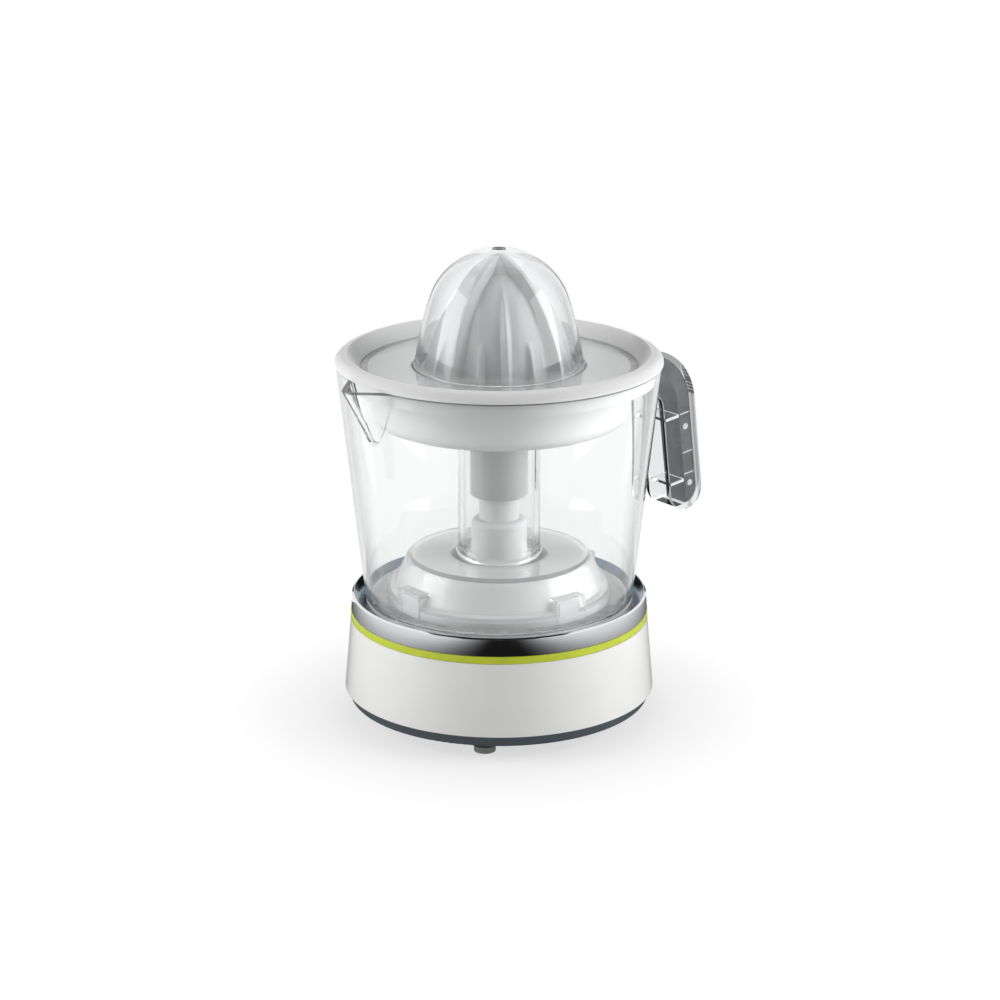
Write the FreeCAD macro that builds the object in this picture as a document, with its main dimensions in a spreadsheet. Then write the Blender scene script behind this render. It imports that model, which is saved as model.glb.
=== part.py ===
"""Citrus press juicer as a parametric document.

Millimetres and degrees, +Z up. The origin lies on the drive axis, on the table that the feet stand on.
The handle points along +X and the pouring spout along -X.
"""
import FreeCAD
import Part
import Sketcher
import math
import os
import re

Vector = FreeCAD.Vector
UP = Vector(0, 0, 1)

# Driving dimensions, in millimetres, degrees and counts
SIZES = {
    # foot pads, base plate and base screws
    "pad_radius": 5.6,
    "pad_height": 3.5,
    "spigot_radius": 2.6,
    "spigot_height": 2.0,
    "boss_radius": 6.2,
    "boss_height": 4.0,
    "foot_inset": 16.9,
    "foot_angle": 45.0,
    "plate_tuck": 3.2,
    "plate_thickness": 2.6,
    "plate_rise": 6.2,
    "plate_edge_round": 2.0,
    "plate_edge_step": 0.4,
    "vent_count": 5,
    "vent_pitch": 6.0,
    "vent_length": 20.0,
    "vent_width": 2.4,
    "vent_reach": 52.0,
    "screw_inset": 10.4,
    "screw_angle": 22.5,
    "screw_post_radius": 4.0,
    "screw_post_web": 2.0,
    "screw_radius": 1.5,
    "screw_length": 14.0,
    "screw_head_radius": 2.8,
    "screw_head_height": 1.6,
    "seam_gap": 0.3,
    # outer shell and cord gland
    "shell_foot_radius": 80.9,
    "shell_taper": 3.3,
    "shell_height": 37.8,
    "shell_wall": 2.4,
    "shell_collar_step": 2.4,
    "shell_collar_height": 7.0,
    "gland_rise": 10.0,
    "gland_radius": 6.0,
    "gland_bore_radius": 3.6,
    "gland_length": 9.0,
    "gland_stand_out": 1.5,
    "gland_flange_radius": 8.2,
    "gland_flange_thickness": 2.0,
    # accent ring and bright trim ring
    "accent_height": 3.9,
    "accent_round": 0.5,
    "trim_height": 9.7,
    "trim_step": 0.3,
    "trim_draft": 0.5,
    "trim_edge_width": 1.0,
    "trim_edge_drop": 0.8,
    "trim_land_lip": 0.5,
    # deck, hub dome and tower
    "deck_thickness": 2.5,
    "hub_height": 21.9,
    "hub_lean": 6.4,
    "hub_waist_height": 6.2,
    "hub_ledge": 4.0,
    "hub_step_height": 5.0,
    "hub_inset": 13.9,
    "hub_wall": 2.5,
    "hub_round": 3.0,
    "tower_radius": 14.5,
    "tower_height": 22.1,
    "tower_round": 3.0,
    "tower_foot_round": 2.0,
    "lug_width": 12.0,
    "lug_height": 12.0,
    "lug_root": 6.0,
    # jug
    "jug_height": 127.0,
    "jug_rim_radius": 83.6,
    "jug_foot_inset": 8.1,
    "jug_wall": 2.4,
    "jug_floor": 2.6,
    "jug_heel_round": 4.5,
    "jug_trough_round": 2.2,
    "jug_shoulder_round": 4.0,
    "hub_gap": 0.6,
    "column_radius": 21.0,
    "column_draft": 0.4,
    "column_wall": 2.4,
    "column_height": 71.6,
    "column_foot_round": 5.0,
    "spout_reach": 15.0,
    "spout_width": 36.6,
    "spout_depth": 31.8,
    "spout_nose": 4.5,
    "spout_swell": 0.55,
    "spout_thinning": 0.4,
    "spout_tip_wall": 1.3,
    "brow_share": 0.7,
    # handle and its grip insert
    "handle_width": 20.0,
    "handle_depth": 22.0,
    "handle_wall": 2.8,
    "handle_side_wall": 2.4,
    "handle_top_drop": 8.2,
    "shoulder_radius": 34.8,
    "shoulder_offset": 8.1,
    "grip_lean": 7.0,
    "grip_length": 50.0,
    "handle_web": 1.6,
    "upper_web_place": 7.0,
    "lower_web_place": 44.0,
    "insert_gap": 0.25,
    "insert_depth": 8.2,
    "insert_start": 64.0,
    "insert_end_gap": 2.0,
    # strainer basket
    "basket_depth": 30.0,
    "ledge_width": 1.7,
    "basket_draft": 3.2,
    "basket_wall": 2.0,
    "basket_floor": 2.0,
    "basket_heel_round": 7.0,
    "rim_overhang": 0.4,
    "rim_edge": 1.2,
    "rim_crest_inset": 6.4,
    "rim_crest_rise": 5.2,
    "rim_bow": 8.0,
    "rim_bore_inset": 13.1,
    "ledge_drop": 3.4,
    "flange_thickness": 1.8,
    "skirt_depth": 7.5,
    "skirt_wall": 1.8,
    "skirt_gap": 0.5,
    "collar_wall": 3.0,
    "collar_height": 11.0,
    "column_ring_gap": 0.6,
    "column_ring_wall": 2.2,
    "column_ring_depth": 4.0,
    "column_top_gap": 0.4,
    "slot_count": 28,
    "slot_width": 2.2,
    "slot_inner_radius": 28.0,
    "slot_end_inset": 10.0,
    # dust cover
    "cover_wall": 1.8,
    "cover_gap": 0.4,
    "dome_height": 60.4,
    "dome_foot_radius": 43.4,
    "dome_side_bow": 200.0,
    "crown_radius": 37.6,
    "crown_drop": 27.7,
    "dome_foot_round": 2.5,
    "gate_radius": 3.4,
    "gate_depth": 0.7,
    # reamer
    "reamer_lift": 0.6,
    "reamer_height": 83.0,
    "fin_radius": 42.6,
    "core_height": 77.0,
    "core_radius": 34.0,
    "core_wall": 2.6,
    "skirt_radius": 44.0,
    "skirt_height": 2.4,
    "tall_rib_height": 71.0,
    "tall_rib_radius": 41.0,
    "short_rib_height": 47.0,
    "short_rib_radius": 41.5,
    "rib_foot_width": 5.0,
    "rib_crest_width": 0.9,
    "rib_root_share": 0.7,
    "rib_least_taper": 1.2,
    "rib_sections": 7,
    "rib_sweep": 84.0,
    "fin_roundness": 2.2,
    "fin_power": 0.645,
    "core_roundness": 3.0,
    "core_power": 0.66,
    "core_points": 8,
    "core_top_walls": 1.5,
    "fin_count": 4,
    "fin_angle": 13.0,
    "stem_radius": 14.9,
    "stem_drop": 42.9,
    "stem_gap": 0.5,
    "shoulder_ring_radius": 19.0,
    "shoulder_ring_height": 3.0,
    "socket_web": 2.0,
    "socket_depth": 60.0,
    # drive spindle, hexagonal shaft and return spring
    "spindle_radius": 10.4,
    "spindle_tuck": 17.0,
    "spindle_gap": 0.5,
    "running_gap": 0.05,
    "hex_flats": 15.0,
    "hex_length": 33.0,
    "hex_gap": 0.3,
    "shaft_flats": 8.0,
    "shaft_gap": 0.12,
    "shaft_tuck": 24.0,
    "shaft_tail": 6.0,
    "spring_radius": 7.4,
    "spring_wire": 1.2,
    "spring_turns": 5,
    "spring_end_gap": 0.3,
    # gear plate, its pillars and bushes
    "gear_plate_rise": 36.9,
    "gear_plate_inset": 7.5,
    "gear_plate_thickness": 3.0,
    "pillar_inset": 5.0,
    "pillar_radius": 3.6,
    "first_pillar_angle": 60.0,
    "second_pillar_angle": 165.0,
    "third_pillar_angle": 270.0,
    "bush_wall": 2.0,
    "bush_flange": 2.0,
    "bush_flange_thickness": 1.5,
    "bush_tail": 1.0,
    # gears
    "output_teeth": 56,
    "output_module": 1.0,
    "output_width": 7.0,
    "output_rise": 8.0,
    "journal_radius": 9.0,
    "idler_pinion_teeth": 14,
    "idler_wheel_teeth": 48,
    "idler_module": 0.8,
    "idler_rise": 1.8,
    "idler_wheel_width": 4.5,
    "idler_pinion_width": 10.0,
    "idler_pin_radius": 2.5,
    "pin_head_radius": 4.5,
    "pin_head_height": 1.4,
    "rotor_teeth": 12,
    "rotor_pinion_width": 6.5,
    "rotor_pinion_rise": 1.4,
    "backlash": 0.16,
    "pressure_angle": 20.0,
    "tooth_rise": 0.75,
    "tooth_drop": 1.05,
    "axial_gap": 0.3,
    # motor
    "rotor_x": 33.0,
    "rotor_y": 20.0,
    "rotor_shaft_radius": 2.0,
    "rotor_shaft_end": 1.0,
    "magnet_radius": 11.0,
    "magnet_overhang": 1.0,
    "air_gap": 0.8,
    "pivot_radius": 5.0,
    "pivot_height": 7.0,
    "pivot_depth": 4.0,
    "core_rise": 11.9,
    "core_stack": 18.0,
    "core_span": 39.0,
    "leg_width": 8.0,
    "pole_reach": 13.0,
    "pole_slot": 4.0,
    "core_margin": 11.1,
    "bobbin_room": 43.0,
    "bobbin_place": 14.0,
    "bobbin_wall": 1.2,
    "bobbin_flange": 3.8,
    "bobbin_flange_thickness": 1.4,
    "winding_inset": 0.5,
    "rest_inset": 1.0,
    # press switch
    "switch_length": 28.0,
    "switch_width": 11.0,
    "switch_rest": 2.0,
    "switch_drop": 6.0,
    "switch_overhang": 6.0,
    "plunger_radius": 2.0,
    "plunger_tuck": 5.0,
    "plunger_gap": 0.3,
    "press_travel": 2.5,
}

# Levels and radii that follow from the driving dimensions
LEVELS = {
    "shell_top_radius": "shell_foot_radius - shell_taper",
    "shell_collar_radius": "shell_top_radius - shell_collar_step",
    "plate_foot_radius": "shell_foot_radius - plate_tuck",
    "foot_circle": "shell_foot_radius - foot_inset",
    "screw_circle": "shell_foot_radius - screw_inset",
    "gear_plate_radius": "screw_circle - gear_plate_inset",
    "pillar_circle": "gear_plate_radius - pillar_inset",
    "jug_foot_radius": "shell_top_radius - jug_foot_inset",
    "hub_foot_radius": "jug_foot_radius - hub_inset",
    "hub_waist_radius": "hub_foot_radius - hub_ledge",
    "hub_top_radius": "hub_waist_radius - hub_lean",
    "rim_radius": "jug_rim_radius + rim_overhang",
    "rim_crest_radius": "rim_radius - rim_crest_inset",
    "rim_bore_radius": "rim_radius - rim_bore_inset",
    "basket_top_radius": "rim_bore_radius - ledge_width",
    "basket_foot_radius": "basket_top_radius - basket_draft",
    "slot_outer_radius": "basket_foot_radius - slot_end_inset",
    "core_corner": "rotor_x + core_span / 2",
    "core_drop": "sqrt((shell_foot_radius - core_margin) ^ 2 - core_corner ^ 2)",
    "core_length": "rotor_y + pole_reach + core_drop",
    "bobbin_length": "core_length - bobbin_room",
    "plate_floor": "pad_height + boss_height",
    "plate_top": "plate_floor + plate_thickness",
    "shell_foot": "plate_floor + plate_rise",
    "shell_top": "shell_foot + shell_height",
    "collar_top": "shell_top + shell_collar_height",
    "accent_top": "shell_top + accent_height",
    "trim_top": "accent_top + trim_height",
    "trim_radius": "shell_top_radius - trim_step",
    "deck": "collar_top + deck_thickness",
    "hub_step": "deck + hub_step_height",
    "hub_waist": "deck + hub_waist_height",
    "hub_top": "deck + hub_height",
    "tower_top": "hub_top + tower_height",
    "tower_bore": "spindle_radius + running_gap",
    "jug_under": "hub_top + hub_gap",
    "jug_floor_top": "jug_under + jug_floor",
    "jug_rim": "deck + jug_height",
    "jug_slope": "(jug_rim_radius - jug_foot_radius) / jug_height",
    "column_top": "jug_floor_top + column_height",
    "column_bore": "column_radius - column_wall",
    "basket_base": "jug_rim - basket_depth",
    "basket_floor_top": "basket_base + basket_floor",
    "collar_bore": "stem_radius + stem_gap",
    "collar_end": "basket_floor_top + collar_height",
    "rim_crest": "jug_rim + rim_crest_rise",
    "cover_seat": "jug_rim - ledge_drop",
    "skirt_foot_radius": "jug_rim_radius - jug_wall - jug_slope * skirt_depth - skirt_gap",
    "disc_top": "cover_seat + cover_wall",
    "cover_top": "disc_top + dome_height",
    "crown_centre": "cover_top - crown_radius",
    "crown_foot": "cover_top - crown_drop",
    "crown_foot_radius": "sqrt(crown_radius ^ 2 - (crown_foot - crown_centre) ^ 2)",
    "cover_thinning": "(crown_radius - cover_wall) / crown_radius",
    "reamer_base": "basket_floor_top + reamer_lift",
    "stem_foot": "reamer_base - stem_drop",
    "socket_circle": "(hex_flats / 2 + hex_gap) / cos(30)",
    "journal_top": "stem_foot - spindle_gap",
    "spindle_foot": "tower_top - spindle_tuck",
    "shaft_top": "spindle_foot + shaft_tuck",
    "gear_plate_foot": "plate_top + gear_plate_rise",
    "gear_plate_top": "gear_plate_foot + gear_plate_thickness",
    "output_foot": "gear_plate_top + output_rise",
    "output_top": "output_foot + output_width",
    "journal_foot": "gear_plate_foot - bush_tail",
    "shaft_foot": "journal_foot - shaft_tail",
    "idler_foot": "gear_plate_top + idler_rise",
    "idler_mid": "idler_foot + idler_wheel_width",
    "idler_top": "idler_mid + idler_pinion_width",
    "core_base": "plate_top + core_rise",
    "core_top": "core_base + core_stack",
    "pivot_top": "plate_top + pivot_height",
    "rotor_pinion_foot": "gear_plate_top + rotor_pinion_rise",
    "rotor_pinion_top": "rotor_pinion_foot + rotor_pinion_width",
    "core_low_y": "-core_drop",
    "leg_offset": "(core_span - leg_width) / 2",
    "switch_foot": "plate_top + switch_rest",
    "switch_top": "shaft_foot - switch_drop",
    "handle_top": "jug_rim - handle_top_drop",
    "shoulder_x": "jug_rim_radius + shoulder_offset",
    "shoulder_z": "handle_top - shoulder_radius",
    "grip_x": "shoulder_x + shoulder_radius * cos(grip_lean)",
    "grip_z": "shoulder_z + shoulder_radius * sin(grip_lean)",
}

doc = FreeCAD.newDocument("citrus_press")
sizes = doc.addObject("Spreadsheet::Sheet", "sizes")
levels = doc.addObject("Spreadsheet::Sheet", "levels")
NAME = re.compile(r"[a-z][a-z_]*")


def formula(rule, inside_levels=False):
    """Turn a rule written in plain names into an expression on the two sheets."""

    def cell(match):
        word = match.group()
        if word in SIZES:
            return "sizes." + word
        if word in LEVELS and not inside_levels:
            return "levels." + word
        return word

    return NAME.sub(cell, rule)


def fill_sheets():
    """Put the driving dimensions in one sheet and what follows from them in the other."""
    for row, (name, number) in enumerate(SIZES.items(), start=1):
        sizes.set(f"A{row}", name)
        sizes.set(f"B{row}", str(number))
        sizes.setAlias(f"B{row}", name)
    doc.recompute()
    for row, (name, rule) in enumerate(LEVELS.items(), start=1):
        levels.set(f"A{row}", name)
        levels.set(f"B{row}", "=" + formula(rule, inside_levels=True))
        levels.setAlias(f"B{row}", name)
    doc.recompute()


def value(rule):
    """Return the number that a rule gives."""
    return float(sizes.evalExpression(formula(rule)))


def bind(thing, **rules):
    """Bind properties to rules; a double underscore in a name stands for a dot."""
    for name, rule in rules.items():
        thing.setExpression(name.replace("__", "."), formula(rule))


fill_sheets()


# Sketches and bodies

def place_point(sketch, geometry, end, axis, rule):
    """Hold one end of a sketch element at its distance from the sketch's origin."""
    distance = value(rule)
    if abs(distance) < 1e-9:
        line = -2 if axis == "DistanceX" else -1
        sketch.addConstraint(Sketcher.Constraint("PointOnObject", geometry, end, line))
        return
    if distance > 0:
        made = Sketcher.Constraint(axis, -1, 1, geometry, end, distance)
        held = rule
    else:
        made = Sketcher.Constraint(axis, geometry, end, -1, 1, -distance)
        held = f"-({rule})"
    index = sketch.addConstraint(made)
    sketch.setExpression(f"Constraints[{index}]", formula(held))


def arc_between(start, end, radius):
    """Return the minor arc from start to end; a negative radius turns it clockwise."""
    chord = end - start
    left = Vector(-chord.y, chord.x, 0).normalize()
    rise = math.sqrt(max(radius * radius - chord.Length ** 2 / 4, 0.0))
    centre = (start + end) / 2 + left * math.copysign(rise, radius)
    first, last = (start, end) if radius > 0 else (end, start)
    angles = [math.atan2(point.y - centre.y, point.x - centre.x) for point in (first, last)]
    return Part.ArcOfCircle(Part.Circle(centre, UP, abs(radius)), *angles)


def draw(sketch, outline):
    """Draw a closed outline of corners (x, y) or (x, y, radius of the arc that leaves the corner)."""
    points = [Vector(value(corner[0]), value(corner[1]), 0) for corner in outline]
    sides = []
    for number, corner in enumerate(outline):
        start = points[number]
        end = points[(number + 1) % len(points)]
        if len(corner) == 2:
            sides.append((sketch.addGeometry(Part.LineSegment(start, end), False), 1, 2))
            continue
        radius = value(corner[2])
        index = sketch.addGeometry(arc_between(start, end, radius), False)
        sides.append((index, 1, 2) if radius > 0 else (index, 2, 1))
    for number, (index, start, _) in enumerate(sides):
        before, _, before_end = sides[number - 1]
        sketch.addConstraint(Sketcher.Constraint("Coincident", before, before_end, index, start))
    for (index, start, _), corner in zip(sides, outline):
        place_point(sketch, index, start, "DistanceX", corner[0])
        place_point(sketch, index, start, "DistanceY", corner[1])
        if len(corner) == 3:
            radius = value(corner[2])
            made = sketch.addConstraint(Sketcher.Constraint("Radius", index, abs(radius)))
            held = corner[2] if radius > 0 else f"-({corner[2]})"
            sketch.setExpression(f"Constraints[{made}]", formula(held))


def new_body(label):
    """Start an empty body."""
    body = doc.addObject("PartDesign::Body", label)
    body.Label = label
    return body


def new_sketch(body, name, plane, outline, height=None):
    """Draw an outline on one of the body's own planes, raised by a height."""
    sketch = body.newObject("Sketcher::SketchObject", name)
    support = next(item for item in body.Origin.OriginFeatures if item.Role == plane)
    sketch.AttachmentSupport = [(support, "")]
    sketch.MapMode = "FlatFace"
    if height:
        bind(sketch, AttachmentOffset__Base__z=height)
    draw(sketch, outline)
    return sketch


def round_rings(body, base, rings, radius, name):
    """Round the circular edges that lie at the given (radius, height) pairs."""
    wanted = [(value(across), value(height)) for across, height in rings]
    edges = []
    for number, edge in enumerate(base.Shape.Edges, start=1):
        if edge.Degenerated or not isinstance(edge.Curve, Part.Circle):
            continue
        curve = edge.Curve
        here = (curve.Radius, curve.Center.z)
        if any(math.dist(here, ring) < 1e-4 for ring in wanted):
            edges.append(f"Edge{number}")
    fillet = body.newObject("PartDesign::Fillet", name)
    fillet.Base = (base, edges)
    bind(fillet, Radius=radius)
    doc.recompute()
    return fillet


def turned(label, outline, rounds=()):
    """Turn an outline of (radius, height) corners about the axis, then round some of its rings."""
    body = new_body(label)
    sketch = new_sketch(body, label + "_outline", "XZ_Plane", outline)
    turn = body.newObject("PartDesign::Revolution", label + "_turn")
    turn.Profile = sketch
    turn.ReferenceAxis = (sketch, ["V_Axis"])
    turn.Angle = 360
    doc.recompute()
    last = turn
    for number, (radius, *rings) in enumerate(rounds):
        last = round_rings(body, last, rings, radius, f"{label}_round_{number}")
    return body


def extruded(body, kind, name, outline, width):
    """Pad or pocket an outline of the XZ plane to both sides of that plane."""
    sketch = new_sketch(body, name + "_outline", "XZ_Plane", outline)
    feature = body.newObject("PartDesign::" + kind, name)
    feature.Profile = sketch
    feature.Midplane = True
    bind(feature, Length=width)
    doc.recompute()
    return feature


# Primitives and booleans

def cylinder(name, radius, foot, height, x="0", y="0"):
    """Stand a cylinder on a level."""
    made = doc.addObject("Part::Cylinder", name)
    bind(made, Radius=radius, Height=height)
    bind(made, Placement__Base__x=x, Placement__Base__y=y, Placement__Base__z=foot)
    return made


def lying_cylinder(name, radius, start, length, z):
    """Lay a cylinder along +X."""
    made = doc.addObject("Part::Cylinder", name)
    made.Placement = FreeCAD.Placement(Vector(), FreeCAD.Rotation(Vector(0, 1, 0), 90))
    bind(made, Radius=radius, Height=length, Placement__Base__x=start, Placement__Base__z=z)
    return made


def hexagon(name, circle, foot, height):
    """Stand a six-sided bar on a level; circle is the radius through its corners."""
    made = doc.addObject("Part::Prism", name)
    made.Polygon = 6
    bind(made, Circumradius=circle, Height=height, Placement__Base__z=foot)
    return made


def cone(name, foot_radius, top_radius, foot, height):
    """Stand a cone on a level."""
    made = doc.addObject("Part::Cone", name)
    bind(made, Radius1=foot_radius, Radius2=top_radius, Height=height, Placement__Base__z=foot)
    return made


def box(name, low, spans, angle="0"):
    """Make a box from its low corner and its spans, then turn it about the axis."""
    made = doc.addObject("Part::Box", name)
    bind(made, Length=spans[0], Width=spans[1], Height=spans[2])
    made.Placement = FreeCAD.Placement(Vector(), FreeCAD.Rotation(UP, value(angle)))
    bind(
        made,
        Placement__Base__x=f"({low[0]}) * cos({angle}) - ({low[1]}) * sin({angle})",
        Placement__Base__y=f"({low[0]}) * sin({angle}) + ({low[1]}) * cos({angle})",
        Placement__Base__z=low[2],
        Placement__Rotation__Angle=angle,
    )
    return made


def fused(label, *members):
    """Join shapes into one solid."""
    made = doc.addObject("Part::MultiFuse", label)
    made.Label = label
    made.Shapes = list(members)
    made.Refine = True
    return made


def less(label, base, *tools):
    """Cut one or more tools out of a shape."""
    made = doc.addObject("Part::Cut", label)
    made.Label = label
    made.Base = base
    made.Tool = tools[0] if len(tools) == 1 else fused(label + "_tools", *tools)
    return made


def group(label, *members):
    """Keep separate solids together under one name."""
    made = doc.addObject("Part::Compound", label)
    made.Label = label
    made.Links = list(members)
    return made


def shaped(label, shape):
    """Hold a shape that no sketch or primitive fits."""
    made = doc.addObject("Part::Feature", label)
    made.Label = label
    made.Shape = shape
    return made


def polar(radius, angle):
    """Return the x and y rules of a point at a radius and an angle."""
    return f"({radius}) * cos({angle})", f"({radius}) * sin({angle})"


# Places that several pieces share

QUARTERS = ("0", "90", "180", "270")
FOOT_PLACES = [polar("foot_circle", f"foot_angle + {turn}") for turn in QUARTERS]
SCREW_PLACES = [polar("screw_circle", f"screw_angle + {turn}") for turn in QUARTERS]
PILLAR_ANGLES = ("first_pillar_angle", "second_pillar_angle", "third_pillar_angle")
PILLAR_PLACES = [polar("pillar_circle", angle) for angle in PILLAR_ANGLES]

# Heights of the spout's plan outlines, as shares of its depth above its lowest point
SPOUT_OUTSIDE = ("0.03", "0.3", "0.65", "1")
SPOUT_INSIDE = ("0.12", "0.35", "0.68", "1.06")


def idler_place():
    """Return where the idler's pin stands: in mesh with both the output gear and the rotor."""
    inner = value("output_module * (output_teeth + idler_pinion_teeth) / 2")
    outer = value("idler_module * (idler_wheel_teeth + rotor_teeth) / 2")
    rotor = Vector(value("rotor_x"), value("rotor_y"), 0)
    along = (inner ** 2 - outer ** 2 + rotor.Length ** 2) / (2 * rotor.Length)
    aside = math.sqrt(inner ** 2 - along ** 2)
    heading = Vector(rotor).normalize()
    return heading * along + Vector(-heading.y, heading.x, 0) * aside


# Base: plate, pads, screws, shell and rings

def make_base_plate():
    """Dished plate with foot bosses, vents, pillars, motor rests and the rotor's lower pivot."""
    edge = "shell_foot_radius - plate_edge_step"
    dish = turned(
        "plate_dish",
        [
            ("0", "plate_floor"),
            ("plate_foot_radius", "plate_floor"),
            (edge, "shell_foot"),
            (f"{edge} - shell_wall", "shell_foot"),
            ("plate_foot_radius - shell_wall", "plate_top"),
            ("0", "plate_top"),
        ],
        [("plate_edge_round", ("plate_foot_radius", "plate_floor"))],
    )
    raised = [dish]
    bored = []
    for x, y in FOOT_PLACES:
        raised.append(
            cylinder("foot_boss", "boss_radius", "pad_height", "boss_height + plate_thickness", x, y))
        bored.append(cylinder("spigot_hole", "spigot_radius", "pad_height", "spigot_height", x, y))
    for x, y in PILLAR_PLACES:
        raised.append(
            cylinder("pillar", "pillar_radius", "plate_floor", "gear_plate_foot - plate_floor", x, y))
        bored.append(
            cylinder("pillar_hole", "screw_radius", "gear_plate_top - screw_length", "screw_length", x, y))
    raised.append(
        cylinder("pivot", "pivot_radius", "plate_floor", "pivot_top - plate_floor", "rotor_x", "rotor_y"))
    bored.append(
        cylinder("pivot_bore", "rotor_shaft_radius + running_gap", "pivot_top - pivot_depth", "pivot_depth",
                 "rotor_x", "rotor_y"))
    for side in ("-1", "1"):
        x = f"rotor_x + {side} * leg_offset"
        for y in ("rotor_y", "core_low_y + leg_width / 2"):
            raised.append(
                cylinder("core_rest", "leg_width / 2 - rest_inset", "plate_floor",
                         "core_base - plate_floor", x, y))
    raised.append(
        box("switch_seat", ("switch_overhang - switch_length", "-switch_width / 2", "plate_floor"),
            ("switch_length", "switch_width", "switch_foot - plate_floor")))
    for x, y in SCREW_PLACES:
        bored.append(cylinder("plate_hole", "screw_radius", "plate_floor", "plate_thickness", x, y))
        bored.append(
            cylinder("counterbore", "screw_head_radius + seam_gap", "plate_floor",
                     "screw_head_height", x, y))
    for number in range(int(value("vent_count"))):
        y = f"({number} - (vent_count - 1) / 2) * vent_pitch - vent_width / 2"
        bored.append(
            box("vent", ("-vent_reach", y, "plate_floor - seam_gap"),
                ("vent_length", "vent_width", "plate_thickness + 2 * seam_gap")))
    return less("base_plate", fused("plate_raised", *raised), *bored)


def make_foot_pads():
    """Four soft pads, each with a spigot in its boss."""
    pads = []
    for x, y in FOOT_PLACES:
        pad = cylinder("pad", "pad_radius", "0", "pad_height", x, y)
        spigot = cylinder("pad_spigot", "spigot_radius", "pad_height", "spigot_height", x, y)
        pads.append(fused("foot_pad", pad, spigot))
    return group("foot_pads", *pads)


def make_screws(label, places, head_foot, shank_foot):
    """Screws with round heads at the given places."""
    screws = []
    for x, y in places:
        head = cylinder("screw_head", "screw_head_radius", head_foot, "screw_head_height", x, y)
        shank = cylinder("screw_shank", "screw_radius", shank_foot, "screw_length", x, y)
        screws.append(fused("screw", head, shank))
    return group(label, *screws)


def make_base_shell():
    """Tapered outer shell with a collar for the rings, screw posts inside and the gland's hole."""
    wall = turned(
        "shell_wall_turned",
        [
            ("shell_foot_radius", "shell_foot"),
            ("shell_top_radius", "shell_top"),
            ("shell_collar_radius", "shell_top"),
            ("shell_collar_radius", "collar_top"),
            ("shell_collar_radius - shell_wall", "collar_top"),
            ("shell_collar_radius - shell_wall", "shell_top - shell_wall"),
            ("shell_top_radius - shell_wall", "shell_top - 2 * shell_wall"),
            ("shell_foot_radius - shell_wall", "shell_foot"),
        ],
    )
    posts = []
    holes = []
    web_foot = "shell_foot + plate_rise"
    for (x, y), turn in zip(SCREW_PLACES, QUARTERS):
        posts.append(
            cylinder("screw_post", "screw_post_radius", "plate_top",
                     "shell_top - shell_wall - plate_top", x, y))
        posts.append(
            box("post_web", ("screw_circle", "-screw_post_web / 2", web_foot),
                ("shell_top_radius - shell_wall / 2 - screw_circle", "screw_post_web",
                 f"shell_top - shell_wall - ({web_foot})"),
                f"screw_angle + {turn}"))
        holes.append(cylinder("post_hole", "screw_radius", "plate_top", "screw_length", x, y))
    holes.append(
        lying_cylinder("gland_hole", "gland_radius", "screw_circle", "shell_foot_radius",
                       "plate_top + gland_rise"))
    return less("base_shell", fused("shell_with_posts", wall, *posts), *holes)


def make_cord_gland():
    """Cord inlet bush in the shell's wall."""
    start = "shell_foot_radius + gland_stand_out - gland_length"
    height = "plate_top + gland_rise"
    barrel = lying_cylinder("gland_barrel", "gland_radius", start, "gland_length", height)
    flange = lying_cylinder("gland_flange", "gland_flange_radius", start, "gland_flange_thickness", height)
    bore = lying_cylinder("gland_bore", "gland_bore_radius", start, "gland_length", height)
    return less("cord_gland", fused("gland_solid", barrel, flange), bore)


def make_rings():
    """Coloured accent ring and the bright trim ring that clamps the deck."""
    bore = "shell_collar_radius + seam_gap"
    accent = turned(
        "accent_ring",
        [
            (bore, "shell_top"),
            ("shell_top_radius", "shell_top"),
            ("shell_top_radius", "accent_top"),
            (bore, "accent_top"),
        ],
        [("accent_round", ("shell_top_radius", "shell_top"), ("shell_top_radius", "accent_top"))],
    )
    trim = turned(
        "trim_ring",
        [
            (bore, "accent_top"),
            ("trim_radius", "accent_top"),
            ("trim_radius - trim_draft", "trim_top - trim_edge_drop"),
            ("trim_radius - trim_draft - trim_edge_width", "trim_top"),
            ("jug_foot_radius", "deck + trim_land_lip"),
            ("jug_foot_radius", "deck"),
            (bore, "deck"),
        ],
    )
    return [accent, trim]


def make_deck_hub():
    """Deck that the jug stands on, with the hub dome, its keying lugs and the spindle tower."""
    dome = turned(
        "hub_dome",
        [
            ("shell_collar_radius", "collar_top"),
            ("shell_collar_radius", "deck"),
            ("hub_foot_radius", "deck"),
            ("hub_foot_radius", "hub_step"),
            ("hub_waist_radius", "hub_waist"),
            ("hub_top_radius", "hub_top"),
            ("tower_radius", "hub_top"),
            ("tower_radius", "tower_top"),
            ("tower_bore", "tower_top"),
            ("tower_bore", "hub_top - hub_wall"),
            ("hub_top_radius - hub_wall / 2", "hub_top - hub_wall"),
            ("hub_waist_radius - hub_wall", "hub_waist"),
            ("hub_foot_radius - hub_wall", "collar_top"),
        ],
        [
            ("tower_round", ("tower_radius", "tower_top")),
            ("tower_foot_round", ("tower_radius", "hub_top")),
            ("hub_round", ("hub_top_radius", "hub_top")),
        ],
    )
    lugs = []
    for turn in QUARTERS:
        lugs.append(
            box("hub_lug", ("hub_foot_radius - lug_root", "-lug_width / 2", "collar_top"),
                ("lug_root", "lug_width", "deck + lug_height - collar_top"), turn))
    return fused("deck_hub", dome, *lugs)


# Jug, handle and grip

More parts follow.
